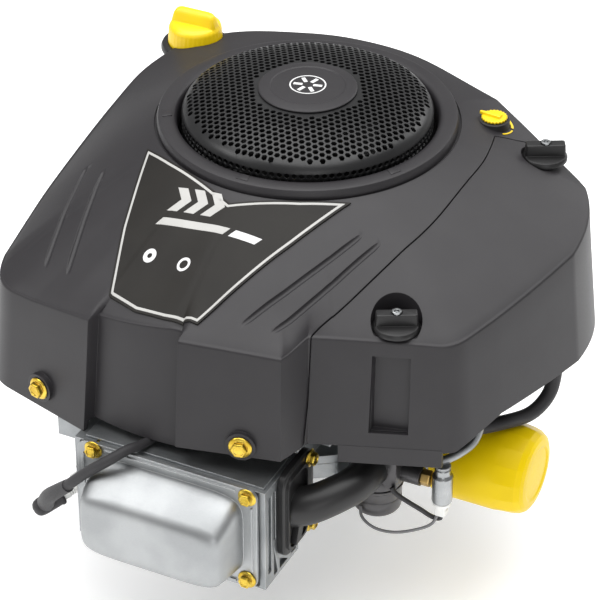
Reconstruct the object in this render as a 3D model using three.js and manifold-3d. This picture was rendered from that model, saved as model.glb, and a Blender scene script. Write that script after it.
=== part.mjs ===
// Single-cylinder vertical-shaft overhead-valve petrol engine, 540 cc class.
// Millimetres, +Z up. Origin: crankshaft axis at the underside of the mounting flange.
// The cylinder points to -Y, the air cleaner is on +X, the oil filler at the rear left.

import * as THREE from 'three';
import { mergeVertices } from 'three/addons/utils/BufferGeometryUtils.js';
import Module from 'manifold-3d';

const wasm = await Module();
wasm.setup();

// ---------------------------------------------------------------- driving dimensions

const GAP = 0.3;                 // air between touching pieces
const WALL = 3;                  // moulded cover thickness

const BORE_R = 45.25;            // 90.5 mm bore
const STROKE = 84;
const THROW = STROKE / 2;
const CYLINDER_Z = 66;           // height of the cylinder axis over the flange
const ROD_LENGTH = 130;

const SUMP_R = 118;
const SUMP_TOP = 16;
const SUMP_FLOOR = 6;
const CASE_R = 86;
const CAVITY_R = 76;
const CASE_TOP = 122;
const FLANGE_BOLT_R = 127;       // 254 mm bolt circle
const SHAFT_R = 12.7;            // 25.4 mm power take-off
const JOURNAL_R = 17.5;
const RUNNING = 0.2;             // radial clearance of a plain bearing
const SHAFT_BELOW = 80;
const CRANKPIN_R = 15;
const WEB = 12;                  // crank web thickness
const PIN_LENGTH = 30;
const WEB_LOW = CYLINDER_Z - PIN_LENGTH / 2 - WEB;
const WEB_HIGH = CYLINDER_Z + PIN_LENGTH / 2;

const CAM_X = -78;               // 14-tooth crank gear drives the 28-tooth cam gear
const CAM_CASE_R = 64;
const CAM_CAVITY_R = 55;
const CRANK_GEAR_R = 26;
const CAM_GEAR_R = 52;
const GEAR_Z = 97;

const HEAD = { x0: -80, x1: 91, back: -203.3, front: -262, z0: 10, z1: 107 };
const DECK_Y = -201;             // end of the cylinder barrel
const CROWN_Y = -199.7;          // piston crown at top dead centre
const WRIST_Y = -THROW - ROD_LENGTH;
const VALVES = [{ name: 'intake', z: 49 }, { name: 'exhaust', z: 83 }];
const VALVE_X = -10;
const ROCKER_X = -40;
const PUSHROD_X = -68;
const ROCKER_Y = -252;
const COVER_FLANGE = { x0: -75, x1: 86, z0: 12, z1: 110, back: -263.7, front: -266.7 };
const COVER_BOLTS = [[-60, 104], [78, 103], [77, 20], [-58, 19]];

const FLYWHEEL_R = 103;
const FLYWHEEL_Z0 = 135;
const FLYWHEEL_Z1 = 180;
const STARTER = { x: 50.5, y: 108.3, r: 29.5 };

const RING_Z = 292;              // top of the collar round the rotating screen
const OPENING_R = 108;
const COLLAR_R = 126;
const SCREEN_R = 104;
const SHELL_TOP = 285;           // where the housing meets the collar
const DRAFT = 0.1;               // lean of the outer walls, per unit of height

const KNOBS = [
  { name: 'cover_knob_front', x: 157, y: -165, seat: 224 },
  { name: 'cover_knob_rear', x: 188, y: 59, seat: 264 },
];
const KNOB_R = 18.5;
const DIAL = { x: 136, y: 74, seat: 281.5 };
const FILLER = { x: -155, y: 94, boss: 26, top: 272 };
const HOUSING_BOLTS = [
  { face: [-124, -239.6, 127], into: [0.278, 0.961, 0] },
  { face: [64, -250.3, 137], into: [-0.223, 0.975, 0] },
];

const BOWL = { x: 137, y: -150, r: 20, z0: 34, z1: 61.7 };
const SOLENOID = { x: 194, y: -150, r: 8.5, z0: 58, z1: 91 };
const FILTER = { y: -84, z: 58, r: 38, x0: 168, x1: 250 };
const SPARK_SEAT = [-90, -234, 40];
const SPARK_OUT = [-0.55, -0.78, -0.3];
const BOOT_MOUTH = [-100, -275, 48];
const MANIFOLD_BOLTS = [[-197, 101], [-197, 36]];

// Centre lines of the hose, the leads, the bracket, the intake elbow and the filler tube.
const LEAD_R = 3.2;
const LEAD_ROUTE = [
  [-12, -138, 166], [-12.5, -165, 150], [-14, -205, 124], [-17, -232, 113.2],
  [-22, -256, 113.9], [-28, -267, 114.6], [-38, -278, 109], [-57, -285, 94],
  [-80, -285, 70], [-98.8, -275.6, 49.2],
];
const HOSE_R = 6;
const HOSE_ROUTE = [
  [243, -34, 152], [243.5, -37, 135], [242, -45, 112], [235, -63, 102], [219, -92, 105],
  [202, -108, 104], [184, -124, 98], [173, -139, 90], [162.6, -142, 87],
];
const WIRE_R = 2;
const WIRE_ROUTE = [
  [157.5, -168, 71], [160, -168, 67], [169, -163, 57.5], [179, -157, 48],
  [187, -152.5, 40.5], [193, -150, 39], [194, -150, 43.3],
];
const BRACKET_R = 3.5;
const BRACKET_ROUTE = [
  [190, -150, 94.7], [202, -137, 99], [210, -125, 106], [211, -114, 120], [211, -113, 139.5],
];
const ELBOW_R = 15;
const ELBOW_BORE_R = 11;
const ELBOW_ROUTE = [[108, -217, 71], [124, -204, 77], [135, -187, 81]];
const FILLER_TUBE_R = 11;
const FILLER_BORE_R = 8.5;
const FILLER_ROUTE = [[-91, 79, 50], [-116, 82, 120], [-136, 86, 172], [-153, 93, 212]];

// ---------------------------------------------------------------- materials

function material(color, roughness, metalness) {
  return new THREE.MeshStandardMaterial({ color, roughness, metalness });
}

const PLASTIC = material(0x3c3a3c, 0.5, 0);
const BLACK = material(0x1c1b1c, 0.55, 0);
const RUBBER = material(0x2b2a2b, 0.8, 0);
const ALUMINIUM = material(0xb4b8b8, 0.35, 1);
const CAST = material(0x8f9394, 0.6, 1);
const STEEL = material(0x9a9c9c, 0.35, 1);
const IRON = material(0x55585a, 0.6, 1);
const ZINC = material(0xd9b530, 0.35, 1);
const YELLOW = material(0xf6d800, 0.4, 0);
const WHITE = material(0xe8e8e4, 0.5, 0);
const PAPER = material(0xd9c89a, 0.9, 0);
const COPPER = material(0xa5622f, 0.4, 1);

// ---------------------------------------------------------------- geometry helpers

function solid(geometry) {
  geometry.deleteAttribute('normal');
  geometry.deleteAttribute('uv');
  const merged = mergeVertices(geometry, 1e-4);
  return new wasm.Manifold(new wasm.Mesh({
    numProp: 3,
    vertProperties: new Float32Array(merged.attributes.position.array),
    triVerts: new Uint32Array(merged.index.array),
  }));
}

function join(...solids) {
  return solids.reduce((sum, next) => sum.add(next));
}

function cut(base, ...tools) {
  return tools.reduce((rest, tool) => rest.subtract(tool), base);
}

function mesh(name, shape, look) {
  const body = shape.getMesh();
  const geometry = new THREE.BufferGeometry();
  geometry.setAttribute('position', new THREE.BufferAttribute(body.vertProperties, 3));
  geometry.setIndex(new THREE.BufferAttribute(body.triVerts, 1));
  geometry.computeVertexNormals();
  const result = new THREE.Mesh(geometry, look);
  result.name = name;
  return result;
}

function block(x0, x1, y0, y1, z0, z1) {
  const geometry = new THREE.BoxGeometry(x1 - x0, y1 - y0, z1 - z0);
  geometry.translate((x0 + x1) / 2, (y0 + y1) / 2, (z0 + z1) / 2);
  return solid(geometry);
}

// Cylinder or cone between two points.
function rod(from, to, r, sides = 16, rEnd = r) {
  const start = new THREE.Vector3(...from);
  const end = new THREE.Vector3(...to);
  const axis = end.clone().sub(start);
  const geometry = new THREE.CylinderGeometry(rEnd, r, axis.length(), sides);
  const up = new THREE.Vector3(0, 1, 0);
  geometry.applyQuaternion(new THREE.Quaternion().setFromUnitVectors(up, axis.normalize()));
  geometry.translate(...start.add(end).multiplyScalar(0.5).toArray());
  return solid(geometry);
}

function post(x, y, z0, z1, r, sides = 16, rEnd = r) {
  return rod([x, y, z0], [x, y, z1], r, sides, rEnd);
}

// Solid of revolution about a vertical axis, from [radius, height] pairs.
function turned(x, y, profile, sides = 24) {
  const points = profile.map(([r, z]) => new THREE.Vector2(r, z));
  const geometry = new THREE.LatheGeometry(points, sides);
  geometry.rotateX(Math.PI / 2);
  geometry.translate(x, y, 0);
  return solid(geometry);
}

// A vertical tube is a turned ring whose profile closes on itself.
function ring(x, y, z0, z1, rIn, rOut, sides = 24) {
  return turned(x, y, [[rIn, z0], [rOut, z0], [rOut, z1], [rIn, z1], [rIn, z0]], sides);
}

function prism(points, z0, z1) {
  const shape = new THREE.Shape(points.map(([x, y]) => new THREE.Vector2(x, y)));
  const geometry = new THREE.ExtrudeGeometry(shape, { depth: z1 - z0, bevelEnabled: false });
  geometry.translate(0, 0, z0);
  return solid(geometry);
}

function tube(points, r, steps, sides = 10) {
  const knots = points.map((p) => new THREE.Vector3(...p));
  const path = new THREE.CatmullRomCurve3(knots, false, 'centripetal');
  const section = new THREE.Shape();
  section.absarc(0, 0, r, 0, Math.PI * 2);
  const outline = new THREE.Shape(section.getSpacedPoints(sides).slice(0, sides));
  return solid(new THREE.ExtrudeGeometry(outline, { steps, extrudePath: path, bevelEnabled: false }));
}

// Closed body through rings of points; each end is closed by a fan to a centre point.
function loft(rings, centres = null) {
  const count = rings[0].length;
  const positions = rings.flat(2);
  const index = [];
  for (let level = 0; level < rings.length - 1; level += 1) {
    for (let i = 0; i < count; i += 1) {
      const a = level * count + i;
      const b = level * count + (i + 1) % count;
      index.push(a, b, a + count, b, b + count, a + count);
    }
  }
  [rings[0], rings[rings.length - 1]].forEach((end, side) => {
    const mean = [0, 1, 2].map((k) => end.reduce((sum, p) => sum + p[k], 0) / count);
    const hub = positions.length / 3;
    positions.push(...(centres ? [...centres[side], mean[2]] : mean));
    const first = side * (rings.length - 1) * count;
    for (let i = 0; i < count; i += 1) {
      const a = first + i;
      const b = first + (i + 1) % count;
      index.push(...(side === 0 ? [hub, b, a] : [hub, a, b]));
    }
  });
  const geometry = new THREE.BufferGeometry();
  geometry.setAttribute('position', new THREE.Float32BufferAttribute(positions, 3));
  geometry.setIndex(index);
  return solid(geometry);
}

function hexBolt(head, into, headR, shankR, length) {
  const axis = new THREE.Vector3(...into).normalize();
  const at = (d) => new THREE.Vector3(...head).addScaledVector(axis, d).toArray();
  return join(
    rod(at(-6), at(-1.5), headR, 6),
    rod(at(-2), at(0), headR * 1.35, 14),
    rod(at(-1), at(length), shankR, 8),
  );
}

function toothedDisc(x, y, z0, z1, rRoot, rTip, teeth) {
  const points = [];
  for (let i = 0; i < teeth * 4; i += 1) {
    const r = i % 4 < 2 ? rTip : rRoot;
    const angle = (Math.floor(i / 4) + [0.02, 0.38, 0.55, 0.85][i % 4]) * Math.PI * 2 / teeth;
    points.push([x + r * Math.cos(angle), y + r * Math.sin(angle)]);
  }
  return prism(points, z0, z1);
}

// ---------------------------------------------------------------- moulded shell

// Plan of the blower housing and air cleaner cover together, at the lower edge,
// anticlockwise from the cover's front left corner.
function outlineCurves() {
  const path = new THREE.Path();
  path.moveTo(104, -212);
  path.lineTo(95, -243);
  path.lineTo(12, -262);
  path.lineTo(8, -249);
  path.quadraticCurveTo(-32, -253, -72, -243);
  path.lineTo(-77, -253);
  path.lineTo(-160, -229);
  path.quadraticCurveTo(-187, -222, -194, -190);
  path.splineThru([
    [-200, -100], [-199, 0], [-188, 60], [-143, 122], [-80, 154], [-24, 166],
    [40, 160], [115, 128], [192, 88], [240, 52],
  ].map(([x, y]) => new THREE.Vector2(x, y)));
  path.quadraticCurveTo(262, 20, 260, -30);
  path.quadraticCurveTo(246, -88, 220, -156);
  path.quadraticCurveTo(214, -171, 203, -175.3);
  path.lineTo(104, -212);
  return path.curves;
}

function outlinePoints(spacing) {
  const points = outlineCurves().flatMap((curve) => {
    const count = Math.ceil(curve.getLength() / spacing);
    return Array.from({ length: count }, (_, i) => curve.getPointAt(i / count));
  });
  return points.reverse();
}

function clamp(value, low, high) {
  return Math.min(high, Math.max(low, value));
}

// Height of the top edge of the outer wall.
function rimHeight(x, y) {
  const climb = 0.26 - 0.11 * clamp(x / 200, 0, 1);
  const sideFall = 0.15 * Math.max(0, -x) + 0.05 * Math.max(0, x);
  return Math.min(281, 223 + climb * Math.max(0, y + 235) - sideFall);
}

// Height of the lower edge of the outer wall, which is cut higher on the right.
function skirtHeight(x, y) {
  const rear = 122;
  const front = x < -76.5 ? 107 : x < 8.1 ? 117 : 127;
  const t = clamp((y + 200) / 80, 0, 1);
  return front + (rear - front) * t + 18 * clamp((x - 212) / 20, 0, 1);
}

// One closed body with the outer form of both covers, shrunk inwards by inset.
function shellBody(inset, drop) {
  const outline = outlinePoints(32);
  const level = (shrink, height) => outline.map((p) => {
    const r = p.length();
    const scale = (r - shrink(p) - inset) / r;
    return [p.x * scale, p.y * scale, height(p)];
  });
  const lean = (p) => DRAFT * (rimHeight(p.x, p.y) - skirtHeight(p.x, p.y));
  const rise = (t) => (p) => {
    const rim = rimHeight(p.x, p.y);
    return rim + (SHELL_TOP - rim) * t - inset;
  };
  const inward = (t) => (p) => {
    const start = lean(p) + 6;
    return start + (p.length() - start - COLLAR_R) * t;
  };
  return loft([
    level(() => 0, (p) => skirtHeight(p.x, p.y) - drop),
    level(lean, (p) => rimHeight(p.x, p.y) - 5 - inset),
    level((p) => lean(p) + 1.8, (p) => rimHeight(p.x, p.y) - 1.5 - inset),
    level(inward(0), rise(0.03)),
    level(inward(0.45), rise(0.52)),
    level(inward(1), rise(1)),
  ], [[0, -20], [0, 0]]);
}

function shell() {
  return cut(shellBody(0, 0), shellBody(WALL, 6));
}

// The air cleaner cover is everything right of this seam.
function coverRegion(shiftX, shiftY) {
  const seam = [
    [104, -260], [102, -200], [120, -166], [140, -114], [148.5, -77], [152.5, -22],
    [153, 12], [149.5, 36], [145, 55], [175, 77], [215, 113], [320, 113], [320, -260],
  ];
  return prism(seam.map(([x, y]) => [x + shiftX, y + shiftY]), 90, 320);
}

function along(point, direction, distance) {
  return point.map((value, k) => value + direction[k] * distance);
}

// Radial plate standing on a disc.
function spoke(angle, r0, r1, thickness, z0, z1) {
  const geometry = new THREE.BoxGeometry(r1 - r0, thickness, z1 - z0);
  geometry.translate((r0 + r1) / 2, 0, (z0 + z1) / 2);
  geometry.rotateZ(angle);
  return solid(geometry);
}

function polar(radius, degrees) {
  const angle = THREE.MathUtils.degToRad(degrees);
  return [radius * Math.cos(angle), radius * Math.sin(angle)];
}

// ---------------------------------------------------------------- covers

function blowerHousing() {
  const low = SHELL_TOP - 12;
  const collar = turned(0, 0, [
    [OPENING_R, low], [OPENING_R + WALL, low], [COLLAR_R - 6, SHELL_TOP - 4],
    [COLLAR_R, SHELL_TOP - 1], [COLLAR_R - 2, RING_Z], [OPENING_R + 4, RING_Z],
    [OPENING_R, RING_Z - 4], [OPENING_R, low],
  ], 28);
  const fillerBoss = ring(FILLER.x, FILLER.y, 236, FILLER.top, 13, FILLER.boss, 24);
  const dialBoss = ring(DIAL.x, DIAL.y, DIAL.seat - 12, DIAL.seat, 4, 13, 24);
  const openings = [
    post(0, 0, 200, 300, OPENING_R, 28),
    post(FILLER.x, FILLER.y, 184, 300, FILLER.boss - 1, 24),
    post(DIAL.x, DIAL.y, 240, 300, 12, 24),
  ];
  const boltHoles = HOUSING_BOLTS.map(({ face, into }) => (
    rod(along(face, into, -9), along(face, into, 16), 4, 10)
  ));
  return cut(
    join(cut(shell(), ...openings), collar, fillerBoss, dialBoss),
    coverRegion(-1, 0.7),
    ...boltHoles,
  );
}

function airCleanerCover() {
  const skirt = prism([[126, -200.8], [203, -172.3], [203, -175.3], [126, -203.8]], 111, 132);
  const recesses = KNOBS.map((k) => post(k.x, k.y, k.seat - 5, k.seat + 40, 21, 24));
  const bosses = KNOBS.map((k) => post(k.x, k.y, k.seat - 13, k.seat, 22, 24).intersect(shellBody(1, 6)));
  const holes = KNOBS.map((k) => post(k.x, k.y, k.seat - 30, k.seat + 5, 5, 10));
  const body = cut(shell().intersect(coverRegion(0, 0)), ...recesses);
  return cut(join(body, skirt, ...bosses), ...holes);
}

function airCleanerBase() {
  const tray = join(
    block(140, 194, -172, -148, 140, 145),
    block(140, 206, -150, -120, 140, 145),
    block(140, 214, -122, -98, 140, 145),
    block(140, 218, -100, 40, 140, 145),
    block(140, 210, 39, 70, 140, 145),
  );
  const posts = KNOBS.map((k) => post(k.x, k.y, 144, 199.7, 8, 16));
  const wall = cut(block(160, 206, -118, 30, 144, 169.7), block(163, 203, -115, 27, 140, 175));
  const horn = ring(150, -146, 96.3, 146, 12, 16, 24);
  return cut(join(tray, ...posts, wall, horn), post(150, -146, 90, 150, 12, 24));
}

function airFilterElement() {
  return block(160, 206, -118, 30, 170, 200);
}

// Thin sheet lying 0.4 mm over the sloping front of the housing.
function decalPanel() {
  const outline = [
    [-99, -95], [-68, -110], [-1, -139], [51, -118], [87, -100],
    [20, -235], [-11, -234], [-38, -231], [-66, -222], [-82, -170],
  ];
  return cut(shellBody(-1.2, 0), shellBody(-0.4, 9)).intersect(prism(outline, 200, 300));
}

function knob(k) {
  const grip = new THREE.BoxGeometry(2 * KNOB_R - 3, 10, 12);
  grip.rotateZ(THREE.MathUtils.degToRad(28));
  grip.translate(k.x, k.y, k.seat + 10);
  return join(
    turned(k.x, k.y, [
      [0, k.seat + 0.4], [KNOB_R, k.seat + 0.4], [KNOB_R, k.seat + 4],
      [KNOB_R - 3, k.seat + 5.5], [0, k.seat + 5.5],
    ], 24),
    solid(grip),
    post(k.x, k.y, 200, k.seat + 1, 4, 10),
    post(k.x, k.y, k.seat + 5, k.seat + 18, 5, 6),
  );
}

function controlDial() {
  const { x, y, seat } = DIAL;
  return join(
    post(x, y, seat + 0.4, seat + 4, 11, 24),
    post(x, y, seat - 15, seat + 1, 3, 12),
    block(x - 13, x + 4, y - 2, y + 2, seat + 3.5, seat + 7),
  );
}

function dipstickTube() {
  const route = [[-89, 78, 25.6], ...FILLER_ROUTE, [FILLER.x, FILLER.y, 262]];
  const bore = [[-89, 78, 20], ...FILLER_ROUTE, [FILLER.x, FILLER.y, 270]];
  return cut(tube(route, FILLER_TUBE_R, 11, 8), tube(bore, FILLER_BORE_R, 11, 8));
}

function oilDipstick() {
  const { x, y, top } = FILLER;
  const cap = [
    [0, top + 0.4], [22, top + 0.4], [24, top + 4], [22.5, top + 18], [19, top + 21], [0, top + 21],
  ];
  return join(
    turned(x, y, cap, 24),
    block(x - 20, x + 20, y - 5, y + 5, top + 20, top + 32),
    post(x, y, 222, top + 1, 7, 10),
  );
}

// ---------------------------------------------------------------- engine block

function oilSump() {
  const ears = [45, 135, 225, 315].map((degrees) => polar(FLANGE_BOLT_R, degrees));
  const cavity = join(
    post(0, 0, SUMP_FLOOR, SUMP_TOP + 5, CAVITY_R, 40),
    post(CAM_X, 0, SUMP_FLOOR, SUMP_TOP + 5, CAM_CAVITY_R, 32),
  );
  return cut(
    join(
      post(0, 0, 0, SUMP_TOP, SUMP_R, 28),
      post(CAM_X, 0, 0, SUMP_TOP, CAM_CASE_R, 28),
      ...ears.map(([x, y]) => post(x, y, 0, SUMP_TOP, 17, 24)),
    ),
    cut(cavity, post(0, 0, 0, 12, 28, 24), post(CAM_X, 0, 0, 12, 13, 24)),
    post(0, 0, -1, 20, JOURNAL_R + RUNNING, 24),
    post(CAM_X, 0, SUMP_FLOOR, 20, 7.2, 16),
    ...ears.map(([x, y]) => post(x, y, -1, 20, 5.2, 10)),
  );
}

function crankcase() {
  const base = SUMP_TOP + GAP;
  const barrel = join(
    block(-54, 54, DECK_Y, -100, 11.5, 117),
    block(-54, 54, -121, -60, base, 117),
  );
  const fins = [-192, -182, -172, -162, -152, -142].map((y) => block(-61, 63, y, y + 2.5, 22, 118));
  const starterPad = rod([...polar(70, 65), 75], [...polar(89.2, 65), 75], 12, 16);
  const filterPad = join(
    block(0, 72, -104, -50, 40, 78),
    rod([70, FILTER.y, FILTER.z], [98, FILTER.y, FILTER.z], 18, 16),
  );
  const outside = join(
    post(0, 0, base, CASE_TOP, CASE_R, 28),
    post(CAM_X, 0, base, CASE_TOP, CAM_CASE_R, 28),
    post(0, 0, base, base + 8, SUMP_R, 28),
    cut(barrel, post(0, 0, 0, base, SUMP_R + 3, 28)),
    ...fins,
    block(-80, -53, DECK_Y, -40, 40, 92),
    starterPad,
    filterPad,
  );
  const pushrodWays = VALVES.map((v) => rod([PUSHROD_X, -210, v.z], [PUSHROD_X, -30, v.z], 5, 10));
  return cut(
    outside,
    post(0, 0, 0, 110, CAVITY_R, 40),
    post(CAM_X, 0, 0, 110, CAM_CAVITY_R, 24),
    rod([0, -210, CYLINDER_Z], [0, -40, CYLINDER_Z], BORE_R, 28),
    post(0, 0, 100, 130, JOURNAL_R + RUNNING, 24),
    post(CAM_X, 0, 105, 118, 7.2, 16),
    rod([40, FILTER.y, FILTER.z], [99, FILTER.y, FILTER.z], 8, 16),
    ...pushrodWays,
  );
}

function cylinderHead() {
  const seat = SPARK_SEAT;
  return cut(
    join(
      block(HEAD.x0, HEAD.x1, HEAD.front, HEAD.back, HEAD.z0, HEAD.z1),
      block(-110, -79, -238, -206, 84, HEAD.z1),
      rod(along(seat, SPARK_OUT, -22), seat, 14, 10),
    ),
    block(-74, 60, HEAD.front - 1, -246, 32, 98),
    rod([0, -203, CYLINDER_Z], [0, -215, CYLINDER_Z], 40, 28),
    ...VALVES.map((v) => rod([VALVE_X, -214, v.z], [VALVE_X, -247, v.z], 3.6, 12)),
    ...VALVES.map((v) => rod([VALVE_X, -214.5, v.z], [VALVE_X, -226, v.z], 13, 16)),
    ...VALVES.map((v) => rod([VALVE_X, -238.5, v.z], [VALVE_X, -247, v.z], 13, 20)),
    ...VALVES.map((v) => rod([PUSHROD_X, -200, v.z], [PUSHROD_X, -247, v.z], 5, 10)),
    rod([95, -220, 67], [VALVE_X, -226, 52], 10, 16),
    rod([-112, -222, 96], [VALVE_X, -226, 86], 9, 16),
    rod(along(seat, SPARK_OUT, -19), along(seat, SPARK_OUT, 3), 5.6, 16),
    rod(along(seat, SPARK_OUT, -0.3), along(seat, SPARK_OUT, 40), 12, 16),
    rod(along(seat, SPARK_OUT, -17), [-30, -210, 60], 2.4, 12),
    ...COVER_BOLTS.map(([x, z]) => rod([x, HEAD.front - 1, z], [x, HEAD.front + 14, z], 3.3, 8)),
    ...MANIFOLD_BOLTS.map(([y, z]) => rod([HEAD.x1 + 1, y, z], [HEAD.x1 - 12, y, z], 3.3, 8)),
  );
}

function headGasket() {
  return cut(
    block(-79, 66, -203, -201.3, 13, 106),
    rod([0, -210, CYLINDER_Z], [0, -195, CYLINDER_Z], BORE_R + 0.2, 28),
    ...VALVES.map((v) => rod([PUSHROD_X, -210, v.z], [PUSHROD_X, -195, v.z], 5, 10)),
  );
}

function headShield() {
  return join(
    block(-72, 88, -258, -204, HEAD.z1 + GAP, HEAD.z1 + 2),
    block(-72, 88, -206, -204, HEAD.z1 + GAP, HEAD.z1 + 9),
  );
}

function coverGasket() {
  const { x0, x1, z0, z1 } = COVER_FLANGE;
  return cut(
    block(x0 + 0.5, x1 - 0.5, -263.4, -262.3, z0 + 0.5, z1 - 4),
    block(-64, 70, -270, -255, 31, 95),
    ...COVER_BOLTS.map(([x, z]) => rod([x, -270, z], [x, -255, z], 3.3, 8)),
  );
}

// Rounded rectangle in an X-Z plane, anticlockwise seen from the front.
function rockerBoxRing(y, x0, x1, z0, z1, inset) {
  const sides = 24;
  const bulge = (value) => Math.sign(value) * Math.abs(value) ** 0.42;
  return Array.from({ length: sides }, (_, i) => {
    const angle = (i + 0.5) * 2 * Math.PI / sides;
    return [
      (x0 + x1) / 2 + ((x1 - x0) / 2 - inset) * bulge(Math.cos(angle)),
      y + inset,
      (z0 + z1) / 2 + ((z1 - z0) / 2 - inset) * bulge(Math.sin(angle)),
    ];
  });
}

function rockerBox(inset, start) {
  return loft([
    rockerBoxRing(start, -64, 76, 21, 98, inset),
    rockerBoxRing(-290, -61, 75, 22, 97, inset),
    rockerBoxRing(-298, -57, 72, 26, 94, inset),
    rockerBoxRing(-303, -48, 63, 35, 86, inset),
  ]);
}

function valveCover() {
  const { x0, x1, z0, z1, back, front } = COVER_FLANGE;
  return cut(
    join(block(x0, x1, front, back, z0, z1), rockerBox(0, -265)),
    rockerBox(2.5, -258),
    ...COVER_BOLTS.map(([x, z]) => rod([x, -270, z], [x, -255, z], 3.3, 8)),
  );
}

function intakeManifold() {
  const route = [[94, -220, 67], ...ELBOW_ROUTE, [138, -162, 82]];
  const bore = [[88, -220, 67], ...ELBOW_ROUTE, [138, -156, 82]];
  return cut(
    join(block(HEAD.x1 + GAP, 98, -242, -188, 27, 109), tube(route, ELBOW_R, 8, 10)),
    tube(bore, ELBOW_BORE_R, 8, 8),
    block(70, HEAD.x1 + GAP, -250, -180, 20, 115),
    block(110, 170, -166 - GAP, -140, 40, 110),
    post(BOWL.x, BOWL.y, 50, 70 + GAP, 21.4, 28),
    ...MANIFOLD_BOLTS.map(([y, z]) => rod([105, y, z], [88, y, z], 3.3, 8)),
  );
}

// ---------------------------------------------------------------- moving inner pieces

function crankWeb(z0, z1) {
  return join(
    cut(post(0, 0, z0, z1, 52, 28), block(-60, 60, -60, -6, z0 - 1, z1 + 1)),
    post(0, 0, z0, z1, 26, 24),
    post(0, -THROW, z0, z1, 18.5, 24),
    block(-18, 18, -THROW, 0, z0, z1),
  );
}

function crankshaft() {
  return join(
    post(0, 0, -SHAFT_BELOW, 2, SHAFT_R, 24),
    post(0, 0, -2, WEB_LOW + 1, JOURNAL_R, 24),
    crankWeb(WEB_LOW, WEB_LOW + WEB),
    post(0, -THROW, WEB_LOW + 1, WEB_HIGH + 1, CRANKPIN_R, 24),
    crankWeb(WEB_HIGH, WEB_HIGH + WEB - 1),
    post(0, 0, WEB_HIGH + 5, CASE_TOP + 2, JOURNAL_R, 24),
    toothedDisc(0, 0, GEAR_Z, GEAR_Z + 7, CRANK_GEAR_R - 3, CRANK_GEAR_R - 0.25, 14),
    post(0, 0, CASE_TOP, 180, SHAFT_R, 24),
    post(0, 0, 179, 196, 8, 16),
  );
}

function camshaft() {
  const lobe = (v) => join(
    post(CAM_X, 0, v.z - 4, v.z + 4, 9.5, 24),
    post(CAM_X, 6, v.z - 4, v.z + 4, 7, 16),
  );
  return join(
    post(CAM_X, 0, SUMP_FLOOR + 0.4, 117.6, 7, 16),
    toothedDisc(CAM_X, 0, GEAR_Z, GEAR_Z + 7, CAM_GEAR_R - 3, CAM_GEAR_R - 0.25, 28),
    ...VALVES.map(lobe),
  );
}

function bigEnd() {
  const half = 9;
  return cut(
    join(
      post(0, -THROW, CYLINDER_Z - half, CYLINDER_Z + half, 19.4, 24),
      block(-19, -14, -THROW - 8, -THROW + 8, CYLINDER_Z - half, CYLINDER_Z + half),
      block(14, 19, -THROW - 8, -THROW + 8, CYLINDER_Z - half, CYLINDER_Z + half),
    ),
    post(0, -THROW, CYLINDER_Z - 20, CYLINDER_Z + 20, CRANKPIN_R + RUNNING, 24),
  );
}

function piston() {
  const skirt = WRIST_Y + 23;
  return cut(
    rod([0, CROWN_Y, CYLINDER_Z], [0, skirt, CYLINDER_Z], BORE_R - 0.25, 28),
    rod([0, CROWN_Y + 9, CYLINDER_Z], [0, skirt + 5, CYLINDER_Z], BORE_R - 6, 24),
    post(0, WRIST_Y, CYLINDER_Z - 60, CYLINDER_Z + 60, 10 + GAP, 24),
  );
}

function smallEnd() {
  return cut(
    join(
      post(0, WRIST_Y, CYLINDER_Z - 10, CYLINDER_Z + 10, 16, 24),
      block(-8, 8, WRIST_Y, WRIST_Y + 21, CYLINDER_Z - 6, CYLINDER_Z + 6),
    ),
    post(0, WRIST_Y, CYLINDER_Z - 20, CYLINDER_Z + 20, 10 + GAP, 24),
  );
}

function valve(v) {
  return join(
    rod([VALVE_X, -214.6, v.z], [VALVE_X, -211.6, v.z], 15.5, 24),
    rod([VALVE_X, -212, v.z], [VALVE_X, -247.5, v.z], 3.45, 12),
  );
}

function pushrod(v) {
  return join(
    rod([PUSHROD_X, -19, v.z], [PUSHROD_X, -247.5, v.z], 3, 12),
    rod([PUSHROD_X, -15, v.z], [PUSHROD_X, -20, v.z], 4.6, 16),
  );
}

function rockerArm(v) {
  return join(
    block(-73, -5, -254, -250, v.z - 5, v.z + 5),
    block(-73, -63, -251, -248, v.z - 4, v.z + 4),
    block(-15, -5, -251, -248, v.z - 4, v.z + 4),
    post(ROCKER_X, ROCKER_Y, v.z - 7, v.z + 7, 5.5, 10),
  );
}

// ---------------------------------------------------------------- flywheel and cooling

function flywheel() {
  const z0 = FLYWHEEL_Z0;
  const z1 = FLYWHEEL_Z1;
  const hub = SHAFT_R + RUNNING;
  const body = turned(0, 0, [
    [hub, 154], [26, 154], [32, z1 - 12], [88, z1 - 12], [88, z0], [99, z0],
    [100, z1], [hub, z1], [hub, 154],
  ], 28);
  const teeth = cut(
    toothedDisc(0, 0, z0, z0 + 12, 100.5, FLYWHEEL_R, 28),
    post(0, 0, z0 - 1, z0 + 14, 94, 28),
  );
  return join(body, teeth);
}

function coolingFan() {
  const z = FLYWHEEL_Z1 + GAP;
  const hub = turned(0, 0, [
    [12, z], [99, z], [99, z + 4], [30, z + 7], [25, 300], [36, 307], [36, 310.7],
    [24, 310.7], [20, 296], [22, z + 10], [12, z + 7], [12, z],
  ], 28);
  const blades = Array.from({ length: 9 }, (_, i) => (
    spoke(i * Math.PI * 2 / 9 + 0.1, 48, 97, 3, z + 3, 238)
  ));
  return join(hub, ...blades);
}

function rotatingScreen() {
  return turned(0, 0, [
    [102, RING_Z - 12], [SCREEN_R, RING_Z - 12], [SCREEN_R, RING_Z + 4], [97, RING_Z + 12],
    [42, RING_Z + 21.5], [30, RING_Z + 21.5], [30, RING_Z + 19], [41, RING_Z + 19],
    [96, RING_Z + 9.5], [102, RING_Z + 3], [102, RING_Z - 12],
  ], 28);
}

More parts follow.
